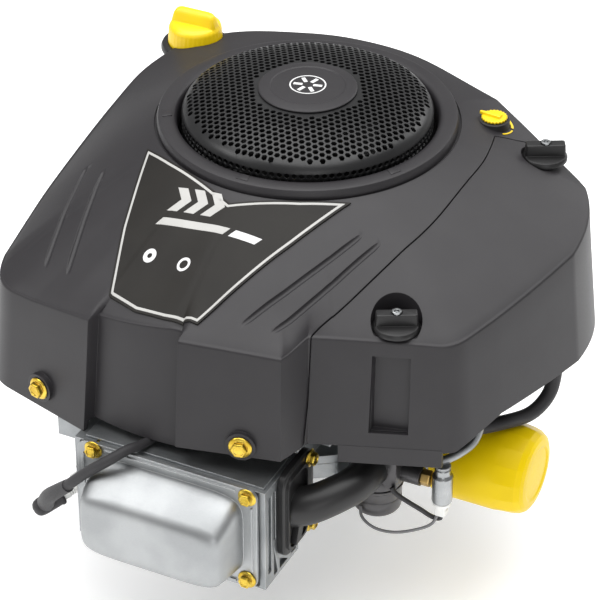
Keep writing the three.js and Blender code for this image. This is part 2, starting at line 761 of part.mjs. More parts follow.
function screenCap() {
  return turned(0, 0, [
    [0, 304], [19, 304], [19, 311.2], [29.5, 311.2], [29.5, RING_Z + 21.9], [41, RING_Z + 21.9],
    [40.4, RING_Z + 23.5], [30, RING_Z + 25], [0, RING_Z + 25.4],
  ], 28);
}

function stator() {
  const poles = Array.from({ length: 9 }, (_, i) => (
    spoke(i * Math.PI * 2 / 9, 30, 66, 12, CASE_TOP + GAP, 146)
  ));
  return join(ring(0, 0, CASE_TOP + GAP, 146, 22, 36, 28), ...poles);
}

function ignitionCoil() {
  return cut(
    join(
      block(-26, 26, -136, -100, 150, 176),
      post(-16, -124, 117.5 + GAP, 151, 5, 12),
      post(16, -124, 117.5 + GAP, 151, 5, 12),
    ),
    post(0, 0, 140, 190, FLYWHEEL_R + 1, 28),
  );
}

function starterMotor() {
  const { x, y, r } = STARTER;
  return join(
    post(x, y, 36, 128, r, 24),
    post(x, y, 127, 131, 15, 24),
    post(x, y, 30, 37, r - 8, 24),
  );
}

function starterPinion() {
  const { x, y } = STARTER;
  return join(
    toothedDisc(x, y, FLYWHEEL_Z0 + 1, FLYWHEEL_Z0 + 11, 12.4, 15.6, 11),
    post(x, y, 131.3, 150, 5, 10),
  );
}

// ---------------------------------------------------------------- fuel, oil and ignition fittings

function carburetorBody() {
  const { x, y } = BOWL;
  return join(
    post(x, y, BOWL.z1 + GAP, 70, 21, 28),
    block(118, 160, -166, -130, 67, 96),
    rod([158, y, 76], [176, y, 76], 8, 16),
  );
}

function carburetorBowl() {
  const { x, y, r, z0, z1 } = BOWL;
  return turned(x, y, [
    [0, z0 - 5], [6, z0 - 5], [6, z0], [r - 3, z0],
    [r, z0 + 4], [r, z1 - 3], [r + 1.5, z1], [0, z1],
  ], 28);
}

function fuelSolenoid() {
  const { x, y, r, z0, z1 } = SOLENOID;
  return turned(x, y, [
    [0, z0], [r - 1, z0], [r, z0 + 1.5], [r, z1 - 6], [r - 2, z1 - 5], [r - 2, z1], [0, z1],
  ], 24);
}

function throttleLever() {
  return join(
    post(125, -157, 96.3, 99.5, 5, 10),
    block(104, 125, -160, -154, 97, 99),
    post(107, -157, 98.5, 103, 2.5, 12),
  );
}

function oilFilter() {
  const { y, z, r, x0, x1 } = FILTER;
  return join(
    rod([x0, y, z], [x0 + 8, y, z], r - 2, 24),
    rod([x0 + 7, y, z], [x1 - 6, y, z], r, 24),
    rod([x1 - 7, y, z], [x1, y, z], r, 32, r - 5),
  );
}

function oilFilterAdapter() {
  const { y, z, x0 } = FILTER;
  return join(
    rod([98.3, y, z], [x0 - 8, y, z], 16, 24),
    rod([x0 - 9, y, z], [x0 - GAP, y, z], 30, 24),
  );
}

function sparkPlug() {
  const at = (d) => along(SPARK_SEAT, SPARK_OUT, d);
  return join(
    rod(at(-18), at(1), 5.2, 10),
    rod(at(0.3), at(9), 10.4, 6),
    rod(at(8.5), at(21.7), 6, 16),
  );
}

function sparkPlugBoot() {
  const at = (d) => along(SPARK_SEAT, SPARK_OUT, d);
  return join(rod(at(22), at(46), 8.5, 10), rod(at(40), BOOT_MOUTH, 6.5, 10));
}

// ---------------------------------------------------------------- assembly

const engine = new THREE.Group();
engine.name = 'small_petrol_engine';

const castings = new THREE.Group();
castings.add(
  mesh('oil_sump', oilSump(), CAST),
  mesh('crankcase', crankcase(), CAST),
  mesh('cylinder_head', cylinderHead(), CAST),
  mesh('head_gasket', headGasket(), STEEL),
  mesh('head_shield', headShield(), BLACK),
  mesh('valve_cover_gasket', coverGasket(), RUBBER),
  mesh('valve_cover', valveCover(), ALUMINIUM),
  ...COVER_BOLTS.map(([x, z], i) => {
    const head = [x, COVER_FLANGE.front - GAP, z];
    return mesh(`valve_cover_bolt_${i + 1}`, hexBolt(head, [0, 1, 0], 5.8, 2.9, 14), ZINC);
  }),
);

const intake = new THREE.Group();
intake.add(
  mesh('intake_manifold', intakeManifold(), BLACK),
  ...MANIFOLD_BOLTS.map(([y, z], i) => (
    mesh(`manifold_bolt_${i + 1}`, hexBolt([98 + GAP, y, z], [-1, 0, 0], 5.8, 2.9, 14), ZINC)
  )),
  mesh('carburetor_body', carburetorBody(), CAST),
  mesh('carburetor_bowl', carburetorBowl(), ALUMINIUM),
  mesh('throttle_lever', throttleLever(), STEEL),
  mesh('fuel_fitting', rod([176.3, BOWL.y, 76], [184.6, BOWL.y, 76], 7, 6), COPPER),
  mesh('fuel_solenoid', fuelSolenoid(), STEEL),
  mesh('solenoid_connector', block(189, 199, -155, -145, 44, 57.7), WHITE),
  mesh('solenoid_wire', tube(WIRE_ROUTE, WIRE_R, 14, 8), RUBBER),
  mesh('solenoid_bracket', tube(BRACKET_ROUTE, BRACKET_R, 10, 8), STEEL),
  mesh('breather_hose', tube(HOSE_ROUTE, HOSE_R, 14, 10), RUBBER),
);

const lubrication = new THREE.Group();
lubrication.add(
  mesh('oil_filter', oilFilter(), YELLOW),
  mesh('oil_filter_adapter', oilFilterAdapter(), CAST),
  mesh('dipstick_tube', dipstickTube(), BLACK),
  mesh('oil_dipstick', oilDipstick(), YELLOW),
);

const ignition = new THREE.Group();
ignition.add(
  mesh('spark_plug', sparkPlug(), WHITE),
  mesh('spark_plug_boot', sparkPlugBoot(), RUBBER),
  mesh('ignition_lead', tube(LEAD_ROUTE, LEAD_R, 26, 8), RUBBER),
  mesh('ignition_coil', ignitionCoil(), BLACK),
  mesh('stator', stator(), COPPER),
  mesh('starter_motor', starterMotor(), IRON),
  mesh('starter_pinion', starterPinion(), STEEL),
);

const covers = new THREE.Group();
covers.add(
  mesh('blower_housing', blowerHousing(), PLASTIC),
  ...HOUSING_BOLTS.map(({ face, into }, i) => (
    mesh(`housing_bolt_${i + 1}`, hexBolt(along(face, into, -1.4), into, 7, 3.4, 10), ZINC)
  )),
  mesh('decal_panel', decalPanel(), BLACK),
  mesh('air_cleaner_cover', airCleanerCover(), PLASTIC),
  mesh('air_cleaner_base', airCleanerBase(), BLACK),
  mesh('air_filter_element', airFilterElement(), PAPER),
  ...KNOBS.map((k) => mesh(k.name, knob(k), BLACK)),
  mesh('control_dial', controlDial(), YELLOW),
);

const drive = new THREE.Group();
drive.add(
  mesh('crankshaft', crankshaft(), STEEL),
  mesh('flywheel', flywheel(), IRON),
  mesh('cooling_fan', coolingFan(), BLACK),
  mesh('rotating_screen', rotatingScreen(), BLACK),
  mesh('screen_cap', screenCap(), BLACK),
  mesh('connecting_rod_big_end', bigEnd(), ALUMINIUM),
  mesh('connecting_rod_small_end', smallEnd(), ALUMINIUM),
  mesh('wrist_pin', post(0, WRIST_Y, CYLINDER_Z - 36, CYLINDER_Z + 36, 10, 24), STEEL),
  mesh('piston', piston(), ALUMINIUM),
  mesh('camshaft', camshaft(), IRON),
  ...VALVES.map((v) => mesh(`${v.name}_valve`, valve(v), STEEL)),
  ...VALVES.map((v) => mesh(`${v.name}_pushrod`, pushrod(v), STEEL)),
  ...VALVES.map((v) => mesh(`${v.name}_rocker`, rockerArm(v), STEEL)),
);

engine.add(castings, intake, lubrication, ignition, covers, drive);

export default engine;
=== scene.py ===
"""Looks of the small petrol engine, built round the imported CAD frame.

Shapes are given in millimetres in the frame of the part: origin on the crank axis at the
underside of the flange, +Z up. They become metres when a piece is made.
"""

import math

import bmesh
import bpy
import numpy as np
from mathutils import Matrix, Vector
from mathutils.bvhtree import BVHTree


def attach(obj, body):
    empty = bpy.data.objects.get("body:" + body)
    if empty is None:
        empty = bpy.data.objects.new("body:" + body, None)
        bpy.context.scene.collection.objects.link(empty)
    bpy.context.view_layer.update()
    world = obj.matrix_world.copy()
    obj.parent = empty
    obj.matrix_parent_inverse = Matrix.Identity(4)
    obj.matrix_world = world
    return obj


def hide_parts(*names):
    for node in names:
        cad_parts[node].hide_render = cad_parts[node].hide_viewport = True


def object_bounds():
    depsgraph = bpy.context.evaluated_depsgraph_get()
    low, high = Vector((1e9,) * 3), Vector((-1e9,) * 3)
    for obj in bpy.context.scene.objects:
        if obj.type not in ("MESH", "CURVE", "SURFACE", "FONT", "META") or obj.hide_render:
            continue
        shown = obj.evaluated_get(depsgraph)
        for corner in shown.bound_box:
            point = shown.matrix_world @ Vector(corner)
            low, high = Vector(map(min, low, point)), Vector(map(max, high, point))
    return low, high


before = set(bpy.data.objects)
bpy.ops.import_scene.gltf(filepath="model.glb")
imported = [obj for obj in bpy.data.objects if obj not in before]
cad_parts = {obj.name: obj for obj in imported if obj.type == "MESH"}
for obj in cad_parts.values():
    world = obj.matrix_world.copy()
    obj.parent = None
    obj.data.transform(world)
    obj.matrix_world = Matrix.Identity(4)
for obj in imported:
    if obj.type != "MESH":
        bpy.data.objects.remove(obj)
cad_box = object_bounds()

MM = 0.001
CORNER_STEPS = 6
SCENE = bpy.context.scene

# ---------------------------------------------------------------- dimensions shared with the part

GAP = 0.3
WALL = 3
SUMP_R, SUMP_TOP, SUMP_FLOOR = 118, 16, 6
CASE_R, CAVITY_R, CASE_TOP = 86, 76, 122
CAM_X, CAM_CASE_R, CAM_CAVITY_R = -78, 64, 55
FLANGE_BOLT_R = 127
JOURNAL_R = 17.5
SHAFT_R = 12.7
CYLINDER_Z, BORE_R, DECK_Y = 66, 45.25, -201
HEAD = {"x0": -80, "x1": 91, "front": -262, "back": -203.3, "z0": 10, "z1": 107}
VALVE_X, PUSHROD_X, VALVE_Z = -10, -68, (49, 83)
COVER_FLANGE = {"x0": -75, "x1": 86, "z0": 12, "z1": 110, "back": -263.7, "front": -266.7}
COVER_BOLTS = [(-60, 104), (78, 103), (77, 20), (-58, 19)]
MANIFOLD_BOLTS = [(-197, 101), (-197, 36)]
RING_Z, OPENING_R, COLLAR_R, SCREEN_R, SHELL_TOP = 292, 108, 126, 104, 285
DRAFT = 0.1
KNOB_R = 18.5
KNOBS = {"front": (157, -165, 224), "rear": (188, 59, 264)}
DIAL = (136, 74, 281.5)
FILLER = {"x": -155, "y": 94, "top": 272}
HOUSING_BOLTS = [((-124, -239.6, 127), (0.278, 0.961, 0)), ((64, -250.3, 137), (-0.223, 0.975, 0))]
BOWL = {"x": 137, "y": -150, "r": 20, "z0": 34, "z1": 61.7}
SOLENOID = {"x": 194, "y": -150, "r": 8.5, "z0": 58, "z1": 91}
FILTER = {"y": -84, "z": 58, "r": 38, "x0": 168}
STARTER = (50.5, 108.3, 29.5)
SPARK_SEAT, SPARK_OUT = (-90, -234, 40), (-0.55, -0.78, -0.3)
BOOT_MOUTH = (-100, -275, 48)
FLYWHEEL_R, FLYWHEEL_Z0, FLYWHEEL_Z1 = 103, 135, 180
SCREW_R, HOUSING_SCREW_R = 5.8, 7
KNOB_POCKET_R = 20
THROW, CRANKPIN_R, CRANK_WEBS = 42, 15, (39, 81)
GEAR_Z, CRANK_GEAR_R = 97, 26

LEAD_ROUTE = [
    (-12, -138, 166), (-12.5, -165, 150), (-14, -205, 124), (-17, -232, 113.2),
    (-22, -256, 113.9), (-28, -267, 114.6), (-38, -278, 109), (-57, -285, 94),
    (-80, -285, 70), (-98.8, -275.6, 49.2),
]
HOSE_ROUTE = [
    (243, -34, 152), (243.5, -37, 135), (242, -45, 112), (235, -63, 102), (219, -92, 105),
    (202, -108, 104), (184, -124, 98), (173, -139, 90), (162.6, -142, 87),
]
WIRE_ROUTE = [
    (157.5, -168, 71), (160, -168, 67), (169, -163, 57.5), (179, -157, 48),
    (187, -152.5, 40.5), (193, -150, 39), (194, -150, 43.3),
]
EARTH_WIRE_ROUTE = [
    (131, -169.6, 44), (134, -174, 38), (145, -177, 33), (160, -174, 30.5),
    (176, -165, 31.5), (188, -155.5, 35.5), (191.5, -152, 43.5),
]
BRACKET_ROUTE = [
    (190, -150, 94.7), (202, -137, 99), (210, -125, 106), (211, -114, 120), (211, -113, 139.5),
]
ELBOW_ROUTE = [(94, -220, 67), (108, -217, 71), (124, -204, 77), (135, -187, 81), (138, -162, 82)]
FILLER_ROUTE = [
    (-89, 78, 25.6), (-91, 79, 50), (-116, 82, 120), (-136, 86, 172), (-153, 93, 212), (-155, 94, 262),
]

# ---------------------------------------------------------------- camera and studio

CAMERA_AT = (0.8773, -1.8006, 1.4589)
CAMERA_TARGET = (0.11673, -0.25222, 0.292)
CAMERA_LENS = 168.23


def make_camera():
    camera = bpy.data.objects.new("camera", bpy.data.cameras.new("camera"))
    SCENE.collection.objects.link(camera)
    camera.location = CAMERA_AT
    aim = Vector(CAMERA_TARGET) - Vector(CAMERA_AT)
    camera.rotation_euler = aim.to_track_quat("-Z", "Y").to_euler()
    camera.data.lens = CAMERA_LENS
    camera.data.clip_end = 20
    SCENE.camera = camera


def make_light(name, place, aim, size, power):
    light = bpy.data.lights.new(name, "AREA")
    light.size = size
    light.energy = power
    lamp = bpy.data.objects.new(name, light)
    SCENE.collection.objects.link(lamp)
    lamp.location = place
    lamp.rotation_euler = (Vector(aim) - Vector(place)).to_track_quat("-Z", "Y").to_euler()


def make_studio():
    world = bpy.data.worlds.new("studio")
    world.use_nodes = True
    background = world.node_tree.nodes["Background"]
    background.inputs["Color"].default_value = (1, 1, 1, 1)
    background.inputs["Strength"].default_value = 0.42
    SCENE.world = world
    SCENE.view_settings.view_transform = "Standard"
    centre = (0, -0.05, 0.15)
    make_light("overhead", (0, 0, 2.6), centre, 3.2, 112)
    make_light("key", (-1.5, -1.2, 1.6), centre, 0.9, 15)
    make_light("front", (1.2, -2.0, 0.7), centre, 1.0, 7)
    make_light("rim", (0.7, 1.7, 1.3), centre, 1.0, 10)


def make_floor(height):
    half = 4
    corners = [(-half, -half), (half, -half), (half, half), (-half, half)]
    data = bpy.data.meshes.new("floor")
    data.from_pydata([(x, y, height) for x, y in corners], [], [(0, 1, 2, 3)])
    floor = bpy.data.objects.new("floor", data)
    SCENE.collection.objects.link(floor)
    pale = bpy.data.materials.new("floor_pale")
    pale.use_nodes = True
    pale.node_tree.nodes["Principled BSDF"].inputs["Base Color"].default_value = (0.93, 0.93, 0.93, 1)
    pale.node_tree.nodes["Principled BSDF"].inputs["Roughness"].default_value = 0.9
    pale.node_tree.nodes["Principled BSDF"].inputs["Emission Color"].default_value = (1, 1, 1, 1)
    pale.node_tree.nodes["Principled BSDF"].inputs["Emission Strength"].default_value = 0.3
    data.materials.append(pale)


# ---------------------------------------------------------------- materials


def graph(name):
    look = bpy.data.materials.new(name)
    look.use_nodes = True
    return look, look.node_tree.nodes, look.node_tree.links


def noise(nodes, links, coords, scale, detail=3.0, stretch=None):
    texture = nodes.new("ShaderNodeTexNoise")
    texture.inputs["Scale"].default_value = scale
    texture.inputs["Detail"].default_value = detail
    source = coords.outputs["Object"]
    if stretch:
        mapping = nodes.new("ShaderNodeMapping")
        mapping.inputs["Scale"].default_value = stretch
        links.new(source, mapping.inputs["Vector"])
        source = mapping.outputs["Vector"]
    links.new(source, texture.inputs["Vector"])
    return texture.outputs["Fac"]


def spread(nodes, links, value, low, high, to_low, to_high):
    remap = nodes.new("ShaderNodeMapRange")
    ends = {"From Min": low, "From Max": high, "To Min": to_low, "To Max": to_high}
    for socket, number in ends.items():
        remap.inputs[socket].default_value = number
    links.new(value, remap.inputs["Value"])
    return remap.outputs["Result"]


def blend_colours(nodes, links, factor, first, second):
    mixer = nodes.new("ShaderNodeMix")
    mixer.data_type = "RGBA"
    links.new(factor, mixer.inputs["Factor"])
    for socket, colour in (("A", first), ("B", second)):
        target = [s for s in mixer.inputs if s.name == socket and s.type == "RGBA"][0]
        if isinstance(colour, tuple):
            target.default_value = (*colour, 1)
        else:
            links.new(colour, target)
    return [s for s in mixer.outputs if s.type == "RGBA"][0]


def make_material(name, dark, light, roughness, metallic=0.0, cloud=30, grain=1400, depth=0.02,
                  edge=0.5, wear=None, stretch=None, sheen=0.0, shine=0.5):
    """Mottled colour, uneven gloss, a fine surface grain, rounded edges and a painted highlight along
    the edges.
    """
    look, nodes, links = graph(name)
    shader = nodes["Principled BSDF"]
    shader.inputs["Metallic"].default_value = metallic
    shader.inputs["Sheen Weight"].default_value = sheen
    shader.inputs["Specular IOR Level"].default_value = shine
    coords = nodes.new("ShaderNodeTexCoord")
    broad = noise(nodes, links, coords, cloud)
    fine = noise(nodes, links, coords, grain, 4.0, stretch)
    colour = blend_colours(nodes, links, spread(nodes, links, broad, 0.35, 0.65, 0, 1), dark, light)
    bevel = nodes.new("ShaderNodeBevel")
    bevel.samples = 4
    bevel.inputs["Radius"].default_value = edge * MM
    # Painted highlight: along every edge, where the bevelled normal turns from the face normal, the
    # colour is mixed towards a lighter one.
    if wear:
        geometry = nodes.new("ShaderNodeNewGeometry")
        product = nodes.new("ShaderNodeVectorMath")
        product.operation = "DOT_PRODUCT"
        links.new(bevel.outputs["Normal"], product.inputs[0])
        links.new(geometry.outputs["Normal"], product.inputs[1])
        edge_highlight_mask = spread(nodes, links, product.outputs["Value"], 0.99, 0.8, 0, 0.6)
        colour = blend_colours(nodes, links, edge_highlight_mask, colour, wear)
    links.new(colour, shader.inputs["Base Color"])
    gloss = spread(nodes, links, fine, 0.3, 0.7, roughness * 0.86, roughness * 1.14)
    links.new(gloss, shader.inputs["Roughness"])
    bump = nodes.new("ShaderNodeBump")
    bump.inputs["Strength"].default_value = 1
    bump.inputs["Distance"].default_value = depth * MM
    links.new(fine, bump.inputs["Height"])
    links.new(bevel.outputs["Normal"], bump.inputs["Normal"])
    links.new(bump.outputs["Normal"], shader.inputs["Normal"])
    return look


LOOKS = {}


def add_look(name, *colours_and_gloss, **options):
    LOOKS[name] = make_material(name, *colours_and_gloss, **options)


add_look(
    "housing_plastic", (0.0175, 0.016, 0.018), (0.020, 0.0185, 0.0205), 0.47, grain=2200,
    depth=0.012, edge=0.8, wear=(0.036, 0.035, 0.037), shine=0.36)
add_look(
    "black_plastic", (0.008, 0.0077, 0.008), (0.012, 0.0116, 0.012), 0.40, grain=1900, depth=0.012,
    edge=0.7, wear=(0.026, 0.026, 0.027), shine=0.4)
add_look(
    "rubber", (0.017, 0.016, 0.018), (0.026, 0.025, 0.027), 0.6, grain=900, depth=0.03, sheen=0.05,
    shine=0.4)
add_look(
    "polished_aluminium", (0.31, 0.32, 0.325), (0.38, 0.39, 0.395), 0.46, 1.0, cloud=22, grain=420,
    depth=0.02, edge=0.8, stretch=(1, 5, 5), wear=(0.72, 0.73, 0.74))
add_look(
    "cast_aluminium", (0.25, 0.262, 0.268), (0.35, 0.362, 0.37), 0.48, 1.0, cloud=26, grain=820,
    depth=0.09, edge=0.9, wear=(0.60, 0.61, 0.62))
add_look(
    "steel", (0.27, 0.28, 0.285), (0.37, 0.38, 0.385), 0.30, 1.0, cloud=40, grain=900, depth=0.008,
    edge=0.4, stretch=(1, 1, 0.1))
add_look(
    "iron", (0.06, 0.06, 0.063), (0.11, 0.11, 0.113), 0.55, 0.85, cloud=34, grain=700, depth=0.06,
    edge=0.6, wear=(0.3, 0.3, 0.31))
add_look(
    "yellow_zinc", (0.46, 0.30, 0.030), (0.66, 0.48, 0.075), 0.28, 1.0, cloud=120, grain=1500,
    depth=0.008, edge=0.4, wear=(0.9, 0.78, 0.36))
add_look(
    "yellow_plastic", (0.80, 0.54, 0.0), (0.86, 0.61, 0.001), 0.38, grain=2400, depth=0.008,
    edge=0.9)
add_look(
    "yellow_paint", (0.70, 0.49, 0.0), (0.76, 0.545, 0.0), 0.34, cloud=18, grain=500, depth=0.006,
    edge=0.6, shine=0.16)
add_look("white_plastic", (0.74, 0.74, 0.72), (0.82, 0.82, 0.80), 0.42, grain=1800, depth=0.01)
add_look("filter_paper", (0.60, 0.50, 0.30), (0.70, 0.60, 0.38), 0.85, grain=1600, depth=0.05)
add_look("brass", (0.42, 0.27, 0.09), (0.56, 0.38, 0.14), 0.34, 1.0, cloud=60, grain=900, depth=0.01)
add_look(
    "decal", (0.0085, 0.0072, 0.0058), (0.011, 0.0095, 0.0075), 0.55, grain=2600, depth=0.004,
    edge=0.2, shine=0.25)
add_look(
    "screen_black", (0.007, 0.007, 0.0075), (0.011, 0.011, 0.0115), 0.36, grain=2200, depth=0.008,
    edge=0.25, wear=(0.03, 0.03, 0.031), shine=0.4)
add_look("bowl_grey", (0.055, 0.053, 0.055), (0.085, 0.083, 0.085), 0.36, 0.7, grain=1200, depth=0.01)
add_look("earth_grey", (0.15, 0.15, 0.155), (0.19, 0.19, 0.195), 0.5, grain=1400, depth=0.01)
add_look("print_grey", (0.38, 0.375, 0.36), (0.43, 0.425, 0.41), 0.5, grain=2600, depth=0.002, edge=0.1)
add_look("print_white", (0.62, 0.62, 0.62), (0.68, 0.68, 0.68), 0.5, grain=2600, depth=0.002, edge=0.1)

# ---------------------------------------------------------------- solids, in millimetres


def solid(points, faces):
    data = bpy.data.meshes.new("solid")
    data.from_pydata([tuple(p) for p in points], [], faces)
    return data


def as_object(data):
    holder = bpy.data.objects.new("holder", data)
    SCENE.collection.objects.link(holder)
    return holder


def evaluated(holder):
    bpy.context.view_layer.update()
    graph_now = bpy.context.evaluated_depsgraph_get()
    return bpy.data.meshes.new_from_object(holder.evaluated_get(graph_now))


def combined(operation, base, tools):
    holder = as_object(base)
    helpers = [as_object(tool) for tool in tools]
    for helper in helpers:
        step = holder.modifiers.new("boolean", "BOOLEAN")
        step.operation = operation
        step.solver = "MANIFOLD"
        step.object = helper
    result = evaluated(holder)
    for item in (holder, *helpers):
        bpy.data.objects.remove(item)
    return result


def join(base, *tools):
    return combined("UNION", base, tools)


def cut(base, *tools):
    return combined("DIFFERENCE", base, tools)


def common(base, *tools):
    return combined("INTERSECT", base, tools)


def together(parts):
    """Separate solids that don't touch, as one mesh."""
    points, faces = [], []
    for part in parts:
        start = len(points)
        points += [tuple(v.co) for v in part.vertices]
        faces += [tuple(start + i for i in f.vertices) for f in part.polygons]
    return solid(points, faces)


def rounded(data, width, segments=2, angle=32):
    """The solid with its sharp edges bevelled."""
    holder = as_object(data)
    step = holder.modifiers.new("bevel", "BEVEL")
    step.width = width
    step.segments = segments
    step.limit_method = "ANGLE"
    step.angle_limit = math.radians(angle)
    result = evaluated(holder)
    bpy.data.objects.remove(holder)
    return result


def loft(rings, centres=None):
    """Closed solid through rings of points, with a fan or a flat face at each end."""
    count = len(rings[0])
    points = [p for level in rings for p in level]
    faces = []
    for level in range(len(rings) - 1):
        for i in range(count):
            a = level * count + i
            b = level * count + (i + 1) % count
            faces.append((a, b, b + count, a + count))
    last = (len(rings) - 1) * count
    if centres is None:
        faces.append(tuple(reversed(range(count))))
        faces.append(tuple(range(last, last + count)))
    else:
        for hub, first, flip in ((centres[0], 0, True), (centres[1], last, False)):
            points.append(hub)
            for i in range(count):
                a, b = first + i, first + (i + 1) % count
                faces.append((len(points) - 1, b, a) if flip else (len(points) - 1, a, b))
    return solid(points, faces)


def side_vectors(axis):
    axis = Vector(axis).normalized()
    helper = Vector((0, 0, 1)) if abs(axis.z) < 0.9 else Vector((1, 0, 0))
    u = axis.cross(helper).normalized()
    return u, axis.cross(u)


def revolve(origin, axis, profile, sides=72):
    """Solid of revolution: profile is [radius, distance along the axis], from axis to axis."""
    origin, axis = Vector(origin), Vector(axis).normalized()
    u, v = side_vectors(axis)
    inner = [(r, d) for r, d in profile if r > 1e-6]
    rings = []
    for r, d in inner:
        ring_points = []
        for i in range(sides):
            angle = 2 * math.pi * i / sides
            ring_points.append(origin + axis * d + (u * math.cos(angle) + v * math.sin(angle)) * r)
        rings.append(ring_points)
    return loft(rings)


def ring(origin, axis, profile, sides=72):
    """Ring of revolution: profile is a closed loop of [radius, distance], not touching the axis."""
    origin, axis = Vector(origin), Vector(axis).normalized()
    u, v = side_vectors(axis)
    count = len(profile)
    points, faces = [], []
    for i in range(sides):
        angle = 2 * math.pi * i / sides
        out = u * math.cos(angle) + v * math.sin(angle)
        points += [origin + axis * d + out * r for r, d in profile]
    for i in range(sides):
        j = (i + 1) % sides
        for k in range(count):
            m = (k + 1) % count
            faces.append((i * count + k, j * count + k, j * count + m, i * count + m))
    return solid(points, faces)


def rod(start, end, r, sides=48):
    axis = Vector(end) - Vector(start)
    return revolve(start, axis, [(r, 0), (r, axis.length)], sides)


def post(x, y, z0, z1, r, sides=72):
    return rod((x, y, z0), (x, y, z1), r, sides)


def turned(x, y, profile, sides=72):
    return revolve((x, y, 0), (0, 0, 1), profile, sides)


def block(x0, x1, y0, y1, z0, z1):
    return prism([(x0, y0), (x1, y0), (x1, y1), (x0, y1)], z0, z1)


def prism(points, z0, z1):
    """Upright prism over an anticlockwise outline."""
    return loft([[(x, y, z0) for x, y in points], [(x, y, z1) for x, y in points]])


def slab(points, x0, x1):
    """Prism along X over an outline of (y, z), anticlockwise seen from +X."""
    return loft([[(x0, y, z) for y, z in points], [(x1, y, z) for y, z in points]])


def panel(points, y0, y1):
    """Prism along Y over an outline of (x, z)."""
    return loft([[(x, y, z) for x, z in points] for y in (y0, y1)])


def rounded_outline(x0, x1, y0, y1, r):
    """Anticlockwise rectangle with round corners."""
    points = []
    corners = (
        (x1 - r, y0 + r, -90), (x1 - r, y1 - r, 0), (x0 + r, y1 - r, 90), (x0 + r, y0 + r, 180))
    for cx, cy, first in corners:
        for k in range(CORNER_STEPS + 1):
            angle = math.radians(first + 90 * k / CORNER_STEPS)
            points.append((cx + r * math.cos(angle), cy + r * math.sin(angle)))
    return points


def smooth_route(knots, spacing=2.5):
    """Centripetal Catmull-Rom curve through the knots, as evenly spaced points."""
    p = [np.array(k, float) for k in knots]
    p = [2 * p[0] - p[1], *p, 2 * p[-1] - p[-2]]
    curve = []
    for a, b, c, d in zip(p, p[1:], p[2:], p[3:]):
        t1 = np.linalg.norm(b - a) ** 0.5
        t2 = t1 + np.linalg.norm(c - b) ** 0.5
        t3 = t2 + np.linalg.norm(d - c) ** 0.5
        for t in np.linspace(t1, t2, 24, endpoint=False):
            a1 = a * (t1 - t) / t1 + b * t / t1
            a2 = b * (t2 - t) / (t2 - t1) + c * (t - t1) / (t2 - t1)
            a3 = c * (t3 - t) / (t3 - t2) + d * (t - t2) / (t3 - t2)
            b1 = a1 * (t2 - t) / t2 + a2 * t / t2
            b2 = a2 * (t3 - t) / (t3 - t1) + a3 * (t - t1) / (t3 - t1)
            curve.append(b1 * (t2 - t) / (t2 - t1) + b2 * (t - t1) / (t2 - t1))
    curve.append(p[-2])
    curve = np.array(curve)
    run = np.concatenate([[0], np.cumsum(np.linalg.norm(np.diff(curve, axis=0), axis=1))])
    at = np.linspace(0, run[-1], max(2, int(run[-1] / spacing)) + 1)
    return np.stack([np.interp(at, run, curve[:, k]) for k in range(3)], axis=1)


def tube(knots, radius, sides=24, spacing=2.5):
    """Round tube along a route; radius is a number or a function of the share of the length."""
    path = [Vector(p) for p in smooth_route(knots, spacing)]
    last = len(path) - 1
    tangents = [
        (path[min(i + 1, last)] - path[max(i - 1, 0)]).normalized() for i in range(len(path))]
    u = side_vectors(tangents[0])[0]
    rings = []
    for i, (centre, tangent) in enumerate(zip(path, tangents)):
        u = (u - tangent * u.dot(tangent)).normalized()
        v = tangent.cross(u)
        r = radius(i / last) if callable(radius) else radius
        level = []
        for k in range(sides):
            angle = 2 * math.pi * k / sides
            level.append(centre + u * (r * math.cos(angle)) + v * (r * math.sin(angle)))
        rings.append(level)
    return loft(rings)


def along(point, direction, distance):
    return tuple(p + d * distance for p, d in zip(point, direction))


def polar(radius, degrees):
    return radius * math.cos(math.radians(degrees)), radius * math.sin(math.radians(degrees))


def spoke(degrees, r0, r1, thickness, z0, z1):
    c, s = polar(1, degrees)
    corners = [(r0, -thickness / 2), (r1, -thickness / 2), (r1, thickness / 2), (r0, thickness / 2)]
    return prism([(x * c - y * s, x * s + y * c) for x, y in corners], z0, z1)


def piece(name, data, look, body="engine", replaces=(), smooth=32):
    """Turns a solid in millimetres into a finished piece in metres that rides on a body."""
    data.name = name
    data.transform(Matrix.Scale(MM, 4))
    data.materials.clear()
    data.materials.append(LOOKS[look])
    data.polygons.foreach_set("use_smooth", [True] * len(data.polygons))
    data.set_sharp_from_angle(angle=math.radians(smooth))
    made = bpy.data.objects.new(name, data)
    SCENE.collection.objects.link(made)
    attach(made, body)
    if replaces:
        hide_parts(*replaces)
    return made


def flange_bolt(name, face, into, head_r, node):
    """Hex flange screw: face is where its washer sits, into points along its shank."""
    axis = -Vector(into).normalized()
    brim = [(head_r * 1.3, 0), (head_r * 1.38, 0.5), (head_r * 1.3, 1.2), (head_r * 1.02, 2.0)]
    washer = revolve(face, axis, brim, 40)
    hexagon = revolve(face, axis, [(head_r, 1.0), (head_r, 5.2), (head_r * 0.86, 6.0)], 6)
    dimple = revolve(face, axis, [(head_r * 0.55, 5.3), (head_r * 0.62, 6.3)], 32)
    body = join(washer, rounded(hexagon, 0.35, 2, 20))
    shank = revolve(face, axis, [(head_r * 0.45, -9), (head_r * 0.45, 0.5)], 24)
    piece(name, join(cut(body, dimple), shank), "yellow_zinc", replaces=[node], smooth=25)


# ---------------------------------------------------------------- moulded shell


def quadratic(start, control, end):
    start, control, end = (np.array(p, float) for p in (start, control, end))
    return lambda t: start * (1 - t) ** 2 + control * 2 * t * (1 - t) + end * t * t


def straight(start, end):
    start, end = np.array(start, float), np.array(end, float)
    return lambda t: start + (end - start) * t


